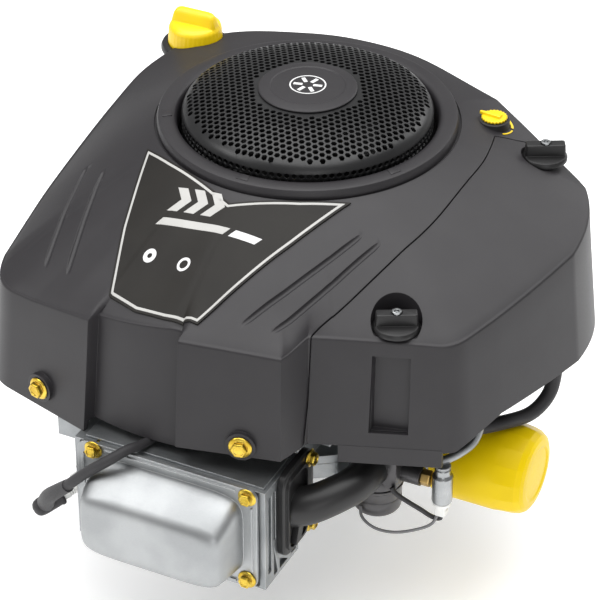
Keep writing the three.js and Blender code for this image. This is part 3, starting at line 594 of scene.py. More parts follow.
def outline_points(spacing):
    """Plan of both covers at their lower edge, anticlockwise from the cover's front left corner."""
    curves = [
        straight((104, -212), (95, -243)), straight((95, -243), (12, -262)),
        straight((12, -262), (8, -249)), quadratic((8, -249), (-32, -253), (-72, -243)),
        straight((-72, -243), (-77, -253)), straight((-77, -253), (-160, -229)),
        quadratic((-160, -229), (-187, -222), (-194, -190)),
    ]
    knots = [
        (-194, -190), (-200, -100), (-199, 0), (-188, 60), (-143, 122), (-80, 154), (-24, 166),
        (40, 160), (115, 128), (192, 88), (240, 52),
    ]
    ends = [knots[0], *knots, knots[-1]]
    for a, b, c, d in zip(ends, ends[1:], ends[2:], ends[3:]):
        a, b, c, d = (np.array(p, float) for p in (a, b, c, d))
        curves.append(lambda t, a=a, b=b, c=c, d=d: 0.5 * (
            2 * b + (c - a) * t + (2 * a - 5 * b + 4 * c - d) * t * t
            + (3 * b - 3 * c + d - a) * t ** 3))
    curves += [
        quadratic((240, 52), (262, 20), (260, -30)), quadratic((260, -30), (246, -88), (220, -156)),
        quadratic((220, -156), (214, -171), (203, -175.3)), straight((203, -175.3), (104, -212)),
    ]
    points = []
    for curve in curves:
        sample = np.array([curve(t) for t in np.linspace(0, 1, 33)])
        run = np.concatenate([[0], np.cumsum(np.linalg.norm(np.diff(sample, axis=0), axis=1))])
        count = max(2, math.ceil(run[-1] / spacing))
        at = np.linspace(0, run[-1], count, endpoint=False)
        points += [(np.interp(d, run, sample[:, 0]), np.interp(d, run, sample[:, 1])) for d in at]
    return points[::-1]


def clamp(value, low, high):
    return min(high, max(low, value))


def rim_height(x, y):
    climb = 0.26 - 0.11 * clamp(x / 200, 0, 1)
    side_fall = 0.15 * max(0, -x) + 0.05 * max(0, x)
    return min(281, 223 + climb * max(0, y + 235) - side_fall)


def skirt_height(x, y):
    front = 107 if x < -76.5 else 117 if x < 8.1 else 127
    return front + (122 - front) * clamp((y + 200) / 80, 0, 1) + 18 * clamp((x - 212) / 20, 0, 1)


OUTLINE = outline_points(3.2)
LOBES_BEHIND = -205
RIM_TURN = [(0, -2.6), (0.2, -1.7), (0.65, -0.9), (1.4, -0.35), (2.4, -0.1)]
TOP_STEPS = 20


def calm_outline(span):
    """The outline with its front lobes averaged out, as the top of the shell has it."""
    count = len(OUTLINE)
    calm = []
    for i in range(count):
        reach = span if OUTLINE[i][1] < LOBES_BEHIND else 1
        near = [OUTLINE[(i + k) % count] for k in range(-reach, reach + 1)]
        calm.append((sum(p[0] for p in near) / len(near), sum(p[1] for p in near) / len(near)))
    return calm


CALM = calm_outline(12)


def shell_body(inset, drop):
    """Closed body with the outer form of both covers, shrunk inwards by inset."""
    def level(outline, shrink, height):
        points = []
        for x, y in outline:
            r = math.hypot(x, y)
            scale = (r - shrink(x, y) - inset) / r
            points.append((x * scale, y * scale, height(x, y)))
        return points

    def lean(x, y):
        return DRAFT * (rim_height(x, y) - skirt_height(x, y))

    def wall(t):
        return level(
            OUTLINE, lambda x, y: lean(x, y) * t,
            lambda x, y: (skirt_height(x, y) - drop) * (1 - t) + (rim_height(x, y) - 5 - inset) * t)

    def turn(step, fall):
        return level(
            OUTLINE, lambda x, y: lean(x, y) + step, lambda x, y: rim_height(x, y) + fall - inset)

    def top(t):
        climb = 0.012 + 1.188 * t - 0.2 * t * t
        calming = clamp(t / 0.22, 0, 1) ** 0.8
        outline = [
            (a[0] + (b[0] - a[0]) * calming, a[1] + (b[1] - a[1]) * calming)
            for a, b in zip(OUTLINE, CALM)]
        def reach(x, y):
            start = lean(x, y) + 3.4
            return start + (math.hypot(x, y) - start - COLLAR_R) * t

        return level(
            outline, reach, lambda x, y: rim_height(x, y) * (1 - climb) + SHELL_TOP * climb - inset)

    rings = [wall(k / 4) for k in range(4)]
    rings += [turn(step, fall) for step, fall in RIM_TURN]
    rings += [top(k / TOP_STEPS) for k in range(TOP_STEPS + 1)]
    low = min(p[2] for p in rings[0])
    return loft(rings, [(0, -20, low), (0, 0, SHELL_TOP - inset)])


def cover_region(shift_x, shift_y):
    """Everything right of the seam between the housing and the air cleaner cover."""
    knots = [(140, -114), (148.5, -77), (152.5, -22), (153, 12), (149.5, 36), (145, 55)]
    bend = smooth_route([(102, -200, 0), (120, -166, 0), *[(x, y, 0) for x, y in knots]], 4)
    seam = [(104, -260), *[(p[0], p[1]) for p in bend], (175, 77), (215, 113), (320, 113), (320, -260)]
    return prism([(x + shift_x, y + shift_y) for x, y in seam[::-1]], 90, 320)


OUTER = shell_body(0.2, 0)
SURFACE = BVHTree.FromPolygons([v.co for v in OUTER.vertices], [f.vertices for f in OUTER.polygons])


def on_top(x, y, offset=0.0):
    """Point on the top of the shell over (x, y)."""
    hit = SURFACE.ray_cast(Vector((x, y, 400)), Vector((0, 0, -1)))[0]
    return (x, y, hit.z + offset)


def groove(start, end, r):
    """Cutter for a round-bottomed groove along the top of the shell, fading out at both ends."""
    count = 12
    knots = []
    for k in range(count + 1):
        t = k / count
        x, y = start[0] + (end[0] - start[0]) * t, start[1] + (end[1] - start[1]) * t
        knots.append(on_top(x, y, r * 0.35 + r * 1.1 * (2 * t - 1) ** 8))
    return tube(knots, r, 20, 4)


def printed(outline, low, high):
    """Thin layer over the shell between two heights above it, inside an outline seen from above."""
    layer = cut(shell_body(-high, 0), shell_body(-low, 9))
    return common(layer, prism(outline, 180, 300))


# ---------------------------------------------------------------- covers


def make_housing():
    collar = ring((0, 0, 0), (0, 0, 1), [
        (OPENING_R, 273), (OPENING_R + WALL, 273), (COLLAR_R - 6, 281), (COLLAR_R - 1.2, SHELL_TOP - 1),
        (COLLAR_R - 1.4, 289.5), (COLLAR_R - 2.6, 291.4), (COLLAR_R - 4.5, RING_Z),
        (OPENING_R + 6, RING_Z), (OPENING_R + 2.6, 291.3), (OPENING_R + 0.8, 289.6), (OPENING_R, 287),
    ], 144)
    seam = ring((0, 0, 0), (0, 0, 1), [
        (COLLAR_R - 1.2, 282.5), (COLLAR_R + 1.0, 282.5), (COLLAR_R + 1.0, 287),
        (COLLAR_R - 1.2, 287)], 144)
    filler_boss = ring((FILLER["x"], FILLER["y"], 0), (0, 0, 1), [
        (13, 236), (26, 236), (26, 270.5), (25.4, 271.6), (24, 272), (13, 272)], 64)
    dial_boss = ring((DIAL[0], DIAL[1], 0), (0, 0, 1), [
        (4, 269.5), (13, 269.5), (13, 281), (12.5, 281.5), (4, 281.5)], 48)
    grooves = [
        groove((-157, -95), (-137, -204), 3.0), groove((-133, -107), (-113, -210), 3.0),
        groove((108, -116), (51, -227), 2.8), groove((123, -115), (75, -222), 2.8),
    ]
    bolt_pads = []
    bolt_holes = []
    for face, into in HOUSING_BOLTS:
        bolt_pads.append(rod(along(face, into, -1.2), along(face, into, 4), 12.5, 48))
        bolt_holes.append(rod(along(face, into, -9), along(face, into, 16), 4, 24))
    shell = cut(
        OUTER.copy(), shell_body(WALL, 6), post(0, 0, 200, 300, OPENING_R + 0.4, 144),
        post(FILLER["x"], FILLER["y"], 237, 300, 25, 64),
        tube(FILLER_ROUTE, 11.6, 40, 4), post(DIAL[0], DIAL[1], 240, 300, 12, 48))
    body = cut(shell, cover_region(-1, 0.7), seam, *grooves)
    body = join(body, collar, filler_boss, dial_boss, *bolt_pads)
    piece("blower_housing_shell", cut(body, *bolt_holes), "housing_plastic", replaces=["blower_housing"])
    fairing = turned(FILLER["x"], FILLER["y"], [(13, 196), (15, 197), (23, 226), (25.6, 235.7)], 72)
    fairing = cut(fairing, shell_body(0.3, 6), tube(FILLER_ROUTE, 11.6, 40, 4))
    piece("filler_fairing", fairing, "housing_plastic")
    grommet = ring((FILLER["x"], FILLER["y"], 0), (0, 0, 1), [
        (13.5, 272.05), (27.5, 272.05), (28.5, 268.5), (30.2, 268.5), (30.2, 271), (29, 273.4),
        (26.5, 274.4), (24.5, 274.4), (22, 272.3), (13.5, 272.3)], 72)
    piece("filler_grommet", grommet, "black_plastic")
    for degrees in (-152, -90, -28):
        outline = []
        for r, half in ((112, 3.2), (120, 5.2), (120, -5.2), (112, -3.2)):
            c, s = polar(1, degrees)
            outline.append((r * c - half * -s, r * s + half * -c))
        tab = prism(outline, RING_Z - 0.4, RING_Z + 0.5)
        piece(f"collar_tab_{int(-degrees)}", rounded(oriented(tab), 0.25), "housing_plastic")


def make_back_plate():
    """Sheet that closes the blower housing from below, round the crankcase and the starter."""
    outline = []
    for x, y in OUTLINE[::3]:
        r = math.hypot(x, y)
        outline.append((x * (r - 8) / r, y * (r - 8) / r))
    plate = cut(
        prism(outline, CASE_TOP + 1, CASE_TOP + 2.6), cover_region(-4, 3), post(0, 0, 100, 140, 72, 96),
        post(STARTER[0], STARTER[1], 100, 140, 31, 72), post(-118, 82.4, 100, 140, 14, 48),
        *[post(x, -124, 100, 140, 6.5, 32) for x in (-16, 16)], block(-21, -7, -216, -196, 100, 140),
        block(-170, 100, -275, -213, 100, 140))
    piece("blower_back_plate", plate, "iron")


def oriented(data):
    """The same solid with its faces turned outwards."""
    work = bmesh.new()
    work.from_mesh(data)
    bmesh.ops.recalc_face_normals(work, faces=work.faces)
    work.to_mesh(data)
    work.free()
    return data


def make_cover():
    skirt = prism([(126, -203.8), (203, -175.3), (203, -172.3), (126, -200.8)], 111, 127.5)
    body = common(cut(OUTER.copy(), shell_body(WALL, 6)), cover_region(0, 0))
    backing = loft([
        [(140, -193, 133), (183, -177, 133), (183, -162, 133), (140, -172, 133)],
        [(140, -187, 214), (183, -170.5, 214), (183, -158, 214), (140, -168, 214)],
    ])
    scoop = loft([
        [(147.8, -206, 140), (177, -195, 140), (177, -176.4, 140), (147.8, -184, 140)],
        [(147.2, -206, 176), (176, -195, 176), (176, -174.2, 176), (147.2, -181.8, 176)],
        [(146.8, -202, 209), (175, -192, 209), (175, -172, 209), (146.8, -179.6, 209)],
    ])
    form = oriented(OUTER.copy())
    pockets, tools = [], [scoop]
    for x, y, seat in KNOBS.values():
        boss = oriented(post(x, y, seat - 13, seat + 40, KNOB_POCKET_R + 2.5, 72))
        pockets.append(common(boss, form.copy()))
        tools.append(post(x, y, seat, seat + 40, KNOB_POCKET_R, 72))
        tools.append(post(x, y, seat - 30, seat + 5, 5, 32))
    body = cut(join(body, backing, skirt, *pockets), *tools)
    piece("air_cleaner_cover_shell", body, "housing_plastic", replaces=["air_cleaner_cover"])


def make_knobs():
    for name, (x, y, seat) in KNOBS.items():
        disc = turned(x, y, [
            (KNOB_R - 1, seat + 0.4), (KNOB_R, seat + 1.2), (KNOB_R, seat + 3.6),
            (KNOB_R - 1.2, seat + 5.2), (KNOB_R - 3.4, seat + 5.6)], 72)
        c, s = polar(1, 28)
        corners = rounded_outline(-KNOB_R + 1.5, KNOB_R - 1.5, -5, 5, 2)
        grip = rounded(loft([
            [(x + (u * c - v * s) * size, y + (u * s + v * c) * size, seat + height) for u, v in corners]
            for size, height in ((1, 4), (0.95, 15.5))]), 1.0, 3)
        dish = post(x, y, seat + 14.6, seat + 20, 4.6, 48)
        stem = post(x, y, seat - 20, seat + 1, 4, 32)
        body = cut(join(disc, grip, stem), dish)
        body_name = f"{name}_knob"
        node = f"cover_knob_{name}"
        piece(f"{name}_knob_grip", body, "black_plastic", body_name, [node], smooth=40)
        socket = post(x, y, seat + 15.4, seat + 20, 2.2, 6)
        screw = cut(post(x, y, seat + 13, seat + 17.2, 3.9, 32), socket)
        piece(f"{name}_knob_screw", rounded(screw, 0.3), "steel", body_name)


def make_dial():
    x, y, seat = DIAL
    lobes = 22
    outline = []
    for i in range(lobes * 8):
        angle = 2 * math.pi * i / (lobes * 8)
        r = 10.4 + 0.6 * math.cos(lobes * angle)
        outline.append((x + r * math.cos(angle), y + r * math.sin(angle)))
    disc = rounded(prism(outline, seat + 0.4, seat + 2.2), 0.4)
    wedge = [(x - 13, y - 1), (x + 6, y - 3.4), (x + 6, y + 3.4), (x - 13, y + 1)]
    pointer = prism(wedge, seat + 1.6, seat + 4.4)
    stem = post(x, y, seat - 15, seat + 1, 3, 24)
    face = join(disc, rounded(pointer, 0.5), stem)
    piece("dial_face", face, "yellow_plastic", "dial", ["control_dial"])
    for k, (first, last) in enumerate(((-40, 8), (18, 70), (80, 128))):
        arc = [polar(16.4, first + (last - first) * i / 12) for i in range(13)]
        arc += [polar(15.0 - 0.9 * k, last + (first - last) * i / 12) for i in range(13)]
        mark = printed([(x + u, y + v) for u, v in reversed(arc)], 0.02, 0.25)
        piece(f"dial_mark_{k + 1}", mark, "yellow_plastic")


def make_filler_cap():
    x, y, top = FILLER["x"], FILLER["y"], FILLER["top"]
    ribs = 36
    rings = []
    for r, z, depth in ((21.6, 0.6, 0.0), (23.4, 1.4, 0.0), (24, 3.6, 0.0), (23.9, 5.0, 0.3),
                        (23.2, 16, 0.3), (22.4, 18.4, 0.0), (20.5, 20.4, 0.0), (17.5, 21.4, 0.0)):
        level = []
        for i in range(ribs * 6):
            angle = 2 * math.pi * i / (ribs * 6)
            radius = r - depth * (0.5 + 0.5 * math.cos(ribs * angle)) ** 3
            level.append((x + radius * math.cos(angle), y + radius * math.sin(angle), top + z))
        rings.append(level)
    cap = loft(rings)
    grip = loft([
        [(x + u, y + v, top + 12) for u, v in rounded_outline(-22.4, 22.4, -8.5, 8.5, 4)],
        [(x + u, y + v, top + 21) for u, v in rounded_outline(-21.2, 21.2, -6.6, 6.6, 4)],
        [(x + u, y + v, top + 28) for u, v in rounded_outline(-19.4, 19.4, -4.8, 4.8, 3)],
        [(x + u, y + v, top + 31) for u, v in rounded_outline(-17.4, 17.4, -3.6, 3.6, 2.6)],
        [(x + u, y + v, top + 32.4) for u, v in rounded_outline(-14, 14, -2.2, 2.2, 1.8)],
    ])
    stem = post(x, y, 222, top + 2, 7, 32)
    piece("filler_cap", join(cap, grip, stem), "yellow_plastic", "dipstick", ["oil_dipstick"], smooth=40)


def make_screen():
    dome = ring((0, 0, 0), (0, 0, 1), [
        (102.6, RING_Z - 12), (SCREEN_R, RING_Z - 12), (SCREEN_R, RING_Z + 2.5), (102.8, RING_Z + 5.4),
        (100.5, RING_Z + 8.6), (97, RING_Z + 11.2), (88, RING_Z + 14.2), (76, RING_Z + 17.2),
        (62, RING_Z + 19.8), (50, RING_Z + 21.1), (42, RING_Z + 21.6), (30, RING_Z + 21.6),
        (30, RING_Z + 20.2), (42, RING_Z + 20.2), (50, RING_Z + 19.7), (62, RING_Z + 18.4),
        (76, RING_Z + 15.8), (88, RING_Z + 12.8), (96.4, RING_Z + 9.9), (99.4, RING_Z + 7.7),
        (101.4, RING_Z + 4.9), (102.6, RING_Z + 2.2),
    ], 144)
    pitch, hole = 5.9, 2.5
    holes = []
    rows = int(104 / (pitch * 0.866)) + 1
    for j in range(-rows, rows + 1):
        for i in range(-rows - 8, rows + 9):
            x, y = (i + 0.5 * (j % 2)) * pitch, j * pitch * 0.866
            if 42.5 + hole < math.hypot(x, y) < 98.5:
                corners = [polar(hole, 30 + 60 * k) for k in range(6)]
                holes.append(prism([(x + u, y + v) for u, v in corners], 295, 318))
    around = 108
    for row in range(2):
        for k in range(around):
            degrees = 360 * (k + 0.5 * row) / around
            c, s = polar(1, degrees)
            z = RING_Z + 0.2 - row * 5.3
            level = []
            for r in (101.0, 107.0):
                level.append([
                    (r * c - s * u, r * s + c * u, z + v)
                    for u, v in (polar(hole, 30 + 60 * m) for m in range(6))])
            holes.append(loft(level))
    perforated = cut(dome, together(holes))
    piece("screen_mesh", perforated, "screen_black", "crank", ["rotating_screen"])
    cap = turned(0, 0, [
        (17, 304), (19, 304), (19, 311.2), (29.5, 311.2), (29.5, 313.9), (40.2, 313.9), (41, 314.4),
        (40.9, 315.1), (40, 315.8), (36, 316.6), (31.5, 317.0), (30.4, 316.4), (29, 316.5),
        (18, 317.2), (4, 317.35)], 96)
    piece(
        "screen_hub_cap", cap, "housing_plastic", "crank", ["screen_cap"],
        smooth=20)
    badge = [ring((0, 0, 0), (0, 0, 1), [(14, 316.6), (15.2, 316.6), (15.2, 317.38), (14, 317.38)], 72)]
    badge += [spoke(60 * k + 15, 4.5, 12, 3.2, 316.6, 317.39) for k in range(6)]
    piece("screen_cap_fan_mark", together(badge), "print_white", "crank")


def inset_outline(points, distance):
    """The outline moved inwards by a distance; points run anticlockwise."""
    moved = []
    count = len(points)
    for i in range(count):
        a, b, c = (Vector(points[(i + k) % count]) for k in (-1, 0, 1))
        first, second = (b - a).normalized(), (c - b).normalized()
        n1, n2 = Vector((-first.y, first.x)), Vector((-second.y, second.x))
        moved.append(tuple(b + (n1 + n2) * (distance / (1 + n1.dot(n2)))))
    return moved


INK_LOW, INK_HIGH = 0.7, 1.05


def make_decal():
    outline = [
        (-99, -95), (-82, -170), (-66, -222), (-38, -231), (-11, -234), (20, -235),
        (87, -100), (51, -118), (-1, -139), (-68, -110),
    ]
    piece("decal_sheet", printed(outline, 0.35, 0.9), "decal", replaces=["decal_panel"], smooth=25)

    def ink(name, marked, look, *openings):
        layer = printed(marked, INK_LOW, INK_HIGH)
        piece(name, cut(layer, *openings) if openings else layer, look, smooth=25)

    inner = prism(inset_outline(outline, 3.4), 150, 320)
    ink("decal_border", inset_outline(outline, 1.6), "print_grey", inner)
    for k in range(3):
        x = -50 + 15 * k
        chevron = [(x, -153), (x + 9, -153), (x + 17, -143), (x + 9, -133), (x, -133), (x + 8, -143)]
        ink(f"decal_chevron_{k + 1}", chevron, "print_grey")
    for k, (x0, x1) in enumerate(((-54, 6), (11, 34))):
        bar = [(x0, -165), (x1, -165), (x1 + 4, -159), (x0 + 4, -159)]
        ink(f"decal_bar_{k + 1}", bar, "print_white" if k else "print_grey")
    for k, (x, y) in enumerate(((-46, -190), (-14, -193))):
        circle = [(x + u, y + v) for u, v in (polar(5.4, 10 * i) for i in range(36))]
        ink(f"decal_icon_{k + 1}", circle, "print_white", post(x, y, 150, 320, 3.4 if k else 2.0, 36))


# ---------------------------------------------------------------- head and intake


def rocker_box(inset, start, sides=120):
    def level(y, x0, x1, z0, z1, power=0.34):
        points = []
        for i in range(sides):
            angle = 2 * math.pi * (i + 0.5) / sides
            c, s = math.cos(angle), math.sin(angle)
            points.append((
                (x0 + x1) / 2 + ((x1 - x0) / 2 - inset) * math.copysign(abs(c) ** power, c), y + inset,
                (z0 + z1) / 2 + ((z1 - z0) / 2 - inset) * math.copysign(abs(s) ** power, s)))
        return points
    return loft([
        level(start, -63, 74, 21, 100), level(-270, -62.4, 73.4, 21.5, 99.4),
        level(-276, -61.6, 72.8, 22, 97.4), level(-286, -60, 71.4, 22.8, 91.6),
        level(-296, -57.6, 69.4, 24.6, 85.6),
        level(-299, -56, 68, 26.4, 83.2), level(-301.2, -53, 65, 30, 80),
        level(-302.4, -49.5, 62, 34, 76.6), level(-302.9, -46, 58.4, 38, 73, 0.4),
    ])


def make_valve_cover():
    c = COVER_FLANGE
    flange = panel(rounded_outline(c["x0"], c["x1"], c["z0"], c["z1"], 9), c["back"], c["front"])
    lip = cut(
        oriented(panel(rounded_outline(c["x0"] + 4, c["x1"] - 3.4, 15, 107, 14), -268.2, -266)),
        oriented(panel(rounded_outline(c["x0"] + 6, c["x1"] - 5.4, 17, 105, 12), -271, -265)),
        *[rod((x, -272, z), (x, -260, z), 10.5, 40) for x, z in COVER_BOLTS])
    outside = join(oriented(flange), oriented(rocker_box(0, -265)))
    bead = [(0.3, 0), (1.2, 5), (1.3, 9), (1.3, 92), (1.2, 96), (0.3, 101)]
    beads = [oriented(revolve((-44, -301.6, z), (1, 0, 0), bead, 24)) for z in (47, 70)]
    holes = [rod((x, -272, z), (x, -255, z), 3.3, 24) for x, z in COVER_BOLTS]
    body = cut(join(outside, oriented(lip), *beads), oriented(rocker_box(2.5, -258)), *holes)
    piece("valve_cover_pressing", body, "polished_aluminium", replaces=["valve_cover"], smooth=30)
    for i, (x, z) in enumerate(COVER_BOLTS):
        node = f"valve_cover_bolt_{i + 1}"
        flange_bolt(f"cover_screw_{i + 1}", (x, c["front"] - GAP, z), (0, 1, 0), SCREW_R, node)


def make_head():
    h = HEAD
    body = join(
        block(h["x0"], h["x1"], h["front"], h["back"], h["z0"], h["z1"]),
        block(-110, -79, -238, -206, 84, h["z1"]),
        rod(along(SPARK_SEAT, SPARK_OUT, -22), SPARK_SEAT, 14, 40))
    side = h["x1"]
    pockets = [
        slab([(-257, 22), (-251, 22), (-251, 98), (-257, 98)], side - 3, side + 1),
        slab([(-247, 14), (-240, 14), (-247, 44)], side - 4, side + 1),
        slab([(-237, 14), (-222, 14), (-237, 25)], side - 4, side + 1),
        slab([(-216, 14), (-207, 14), (-207, 24), (-216, 24)], side - 4, side + 1),
        slab([(-247, 50), (-244, 50), (-244, 98), (-247, 98)], side - 3, side + 1),
    ]
    left = [
        block(h["x0"] - 1, h["x0"] + 4, -256, -244, 60, 98),
        block(h["x0"] - 1, h["x0"] + 4, -236, -224, 56, 80),
    ]
    under = [block(x, x + 16, -256, -210, h["z0"] - 1, h["z0"] + 5) for x in (-70, -46, -22, 2, 26, 50)]
    fins = [block(x, x + 3, -256, -212, h["z1"] - 5, h["z1"] + 1) for x in range(-70, 84, 9)]
    inside = [
        block(-74, 60, h["front"] - 1, -246, 32, 98),
        rod((0, -203, CYLINDER_Z), (0, -215, CYLINDER_Z), 40, 64),
        *[rod((VALVE_X, -214, z), (VALVE_X, -247, z), 3.6, 24) for z in VALVE_Z],
        *[rod((VALVE_X, -214.5, z), (VALVE_X, -226, z), 13, 40) for z in VALVE_Z],
        *[rod((VALVE_X, -238.5, z), (VALVE_X, -247, z), 13, 40) for z in VALVE_Z],
        *[rod((PUSHROD_X, -200, z), (PUSHROD_X, -247, z), 5, 24) for z in VALVE_Z],
        rod((95, -220, 67), (VALVE_X, -226, 52), 10, 40),
        rod((-112, -222, 96), (VALVE_X, -226, 86), 9, 40),
        rod(along(SPARK_SEAT, SPARK_OUT, -19), along(SPARK_SEAT, SPARK_OUT, 3), 5.6, 32),
        rod(along(SPARK_SEAT, SPARK_OUT, -0.3), along(SPARK_SEAT, SPARK_OUT, 40), 12, 32),
        *[rod((x, h["front"] - 1, z), (x, h["front"] + 14, z), 3.3, 16) for x, z in COVER_BOLTS],
        *[rod((side + 1, y, z), (side - 12, y, z), 3.3, 16) for y, z in MANIFOLD_BOLTS],
    ]
    tools = [oriented(tool) for tool in (*pockets, *left, *under, *fins, *inside)]
    casting = cut(oriented(body), *tools)
    piece("cylinder_head_casting", casting, "cast_aluminium", replaces=["cylinder_head"])
    shield = join(
        block(-72, 88, -258, -204, h["z1"] + GAP, h["z1"] + 2),
        block(-72, 88, -206, -204, h["z1"] + GAP, h["z1"] + 9))
    piece("head_shield_plate", rounded(shield, 0.5), "cast_aluminium", replaces=["head_shield"])


def make_manifold():
    flange = slab(rounded_outline(-242, -188, 27, 109, 12), HEAD["x1"] + GAP, 96.4)
    face = loft([
        [(x, y, z) for y, z in rounded_outline(-242 + g, -188 - g, 27 + g, 109 - g, 12 - g)]
        for x, g in ((96, 0), (97.6, 1.2), (98, 2.4))])
    rib = cut(
        slab(rounded_outline(-239, -203, 33, 104, 9), 97, 100.5),
        slab(rounded_outline(-236.5, -205.5, 35.5, 101.5, 7), 96, 102))
    elbow = tube(ELBOW_ROUTE, lambda t: 15 + 2.2 * (1 - t) ** 4, 48, 3)
    gusset = prism([(97, -236), (112, -216), (112, -213), (97, -233)], 60, 74)
    web = slab([(-233, 40), (-224, 40), (-216, 62), (-224, 66)], 97, 104)
    body = join(oriented(flange), oriented(face), oriented(rib), elbow, oriented(gusset), oriented(web))
    bore = tube([(88, -220, 67), *ELBOW_ROUTE[1:-1], (138, -156, 82)], 11, 32, 3)
    tools = [
        bore, block(110, 170, -166 - GAP, -140, 40, 110), post(BOWL["x"], BOWL["y"], 50, 70 + GAP, 21.4),
        *[rod((106, y, z), (88, y, z), 3.3, 24) for y, z in MANIFOLD_BOLTS],
    ]
    piece("intake_manifold_moulding", cut(body, *[oriented(t) for t in tools]), "black_plastic",
          replaces=["intake_manifold"], smooth=35)
    for i, (y, z) in enumerate(MANIFOLD_BOLTS):
        node = f"manifold_bolt_{i + 1}"
        flange_bolt(f"manifold_screw_{i + 1}", (98 + GAP, y, z), (-1, 0, 0), SCREW_R, node)


def make_carburettor():
    x, y = BOWL["x"], BOWL["y"]
    z0, z1, r = BOWL["z0"], BOWL["z1"], BOWL["r"]
    body = join(
        rounded(block(118, 160, -166, -130, 67, 96), 1.2),
        turned(x, y, [(20, z1 + GAP), (21, z1 + 1), (21, 68.4), (20, 70)], 72),
        rod((158, y, 76), (176, y, 76), 8, 40),
        rod((150, -166.4, 86), (150, -165, 86), 4, 32))
    piece("carburettor_casting", body, "bowl_grey", replaces=["carburetor_body"])
    bowl = turned(x, y, [
        (4.8, z0 - 5), (6, z0 - 4), (6, z0 - 0.6), (7, z0), (r - 5, z0 + 0.3), (r - 2, z0 + 1.6),
        (r - 0.5, z0 + 3.6), (r, z0 + 6), (r, z0 + 14), (r - 0.5, z0 + 15), (r, z0 + 16), (r, z1 - 4),
        (r + 1.2, z1 - 2.6), (r + 1.5, z1 - 0.4), (r + 1.1, z1)], 96)
    piece("float_bowl", bowl, "bowl_grey", replaces=["carburetor_bowl"])
    fitting = revolve((176.3, y, 76), (1, 0, 0), [(6.4, 0), (7, 0.6), (7, 7.4), (6.2, 8.2)], 6)
    piece("brass_fitting", rounded(fitting, 0.4), "brass", replaces=["fuel_fitting"], smooth=25)
    lever = join(
        post(125, -157, 96.3, 99.5, 5, 40),
        rounded(block(104, 125, -160, -154, 97, 99), 0.6), post(107, -157, 98.5, 103, 2.5, 32))
    piece("throttle_arm", lever, "steel", "throttle", ["throttle_lever"])


def make_solenoid():
    x, y, r, z0, z1 = (SOLENOID[k] for k in ("x", "y", "r", "z0", "z1"))
    can = turned(x, y, [
        (r - 1.4, z0), (r - 0.3, z0 + 0.5), (r, z0 + 1.6), (r, z1 - 8), (r - 0.7, z1 - 6.8),
        (r - 1.6, z1 - 6), (r - 2, z1 - 5), (r - 2, z1 - 1), (r - 2.6, z1)], 72)
    piece("solenoid_can", can, "steel", replaces=["fuel_solenoid"], smooth=30)
    plug = join(
        turned(x, y, [(6.6, 54.4), (7.6, 55), (7.6, 57.2), (6.8, 57.7)], 48),
        rounded(block(x - 4.4, x + 4.4, y - 4.4, y + 4.4, 44, 55), 0.8),
        rounded(block(x - 5, x + 5, y - 2.6, y + 2.6, 47.5, 50), 0.5))
    piece("wire_connector", plug, "white_plastic", replaces=["solenoid_connector"])
    arm = join(
        tube(BRACKET_ROUTE, 3.5, 32, 2.5),
        turned(x, y, [(5, z1 + 0.2), (6.4, z1 + 0.6), (6.4, z1 + 2.6), (5.4, z1 + 3.4)], 48))
    piece("solenoid_arm", arm, "cast_aluminium", replaces=["solenoid_bracket"], smooth=50)
    piece("solenoid_lead", tube(WIRE_ROUTE, 2, 20, 2), "rubber", replaces=["solenoid_wire"], smooth=50)
    piece("earth_lead", tube(EARTH_WIRE_ROUTE, 1.3, 16, 2), "earth_grey", smooth=50)


def make_breather():
    hose = tube(HOSE_ROUTE, 6, 40, 2)
    piece("breather_pipe", hose, "rubber", replaces=["breather_hose"], smooth=50)


def make_ignition():
    def at(distance):
        return along(SPARK_SEAT, SPARK_OUT, distance)

    cable = tube(LEAD_ROUTE, lambda t: 3.2 + 1.3 * clamp(3 * t - 1, 0, 1), 28, 2.5)
    piece("ignition_cable", cable, "rubber", replaces=["ignition_lead"], smooth=50)
    neck = [at(38), BOOT_MOUTH, (-90, -281, 60), (-74, -286, 76)]
    sleeve = [
        (7.8, 22), (8.6, 23), (8.6, 25), (7.9, 26), (7.9, 40), (7.6, 43), (6.8, 45.6), (5.2, 47.6),
        (2.5, 48.8)]
    boot = join(
        revolve(SPARK_SEAT, SPARK_OUT, sleeve, 48), tube(neck, lambda t: 7.4 - 2.0 * t, 40, 1.5))
    piece("plug_boot", boot, "rubber", replaces=["spark_plug_boot"], smooth=45)
    insulator = [(6, 0), (6, 2), (5.2, 3), (6, 4), (5.2, 5), (6, 6), (5.2, 7), (6, 8), (6, 13.2)]
    plug = join(
        rod(at(-18), at(1), 5.2, 32), rounded(rod(at(0.3), at(9), 10.4, 6), 0.6),
        revolve(at(8.5), SPARK_OUT, insulator, 40))
    piece("plug_body", plug, "white_plastic", replaces=["spark_plug"])


# ---------------------------------------------------------------- block, drive and starter


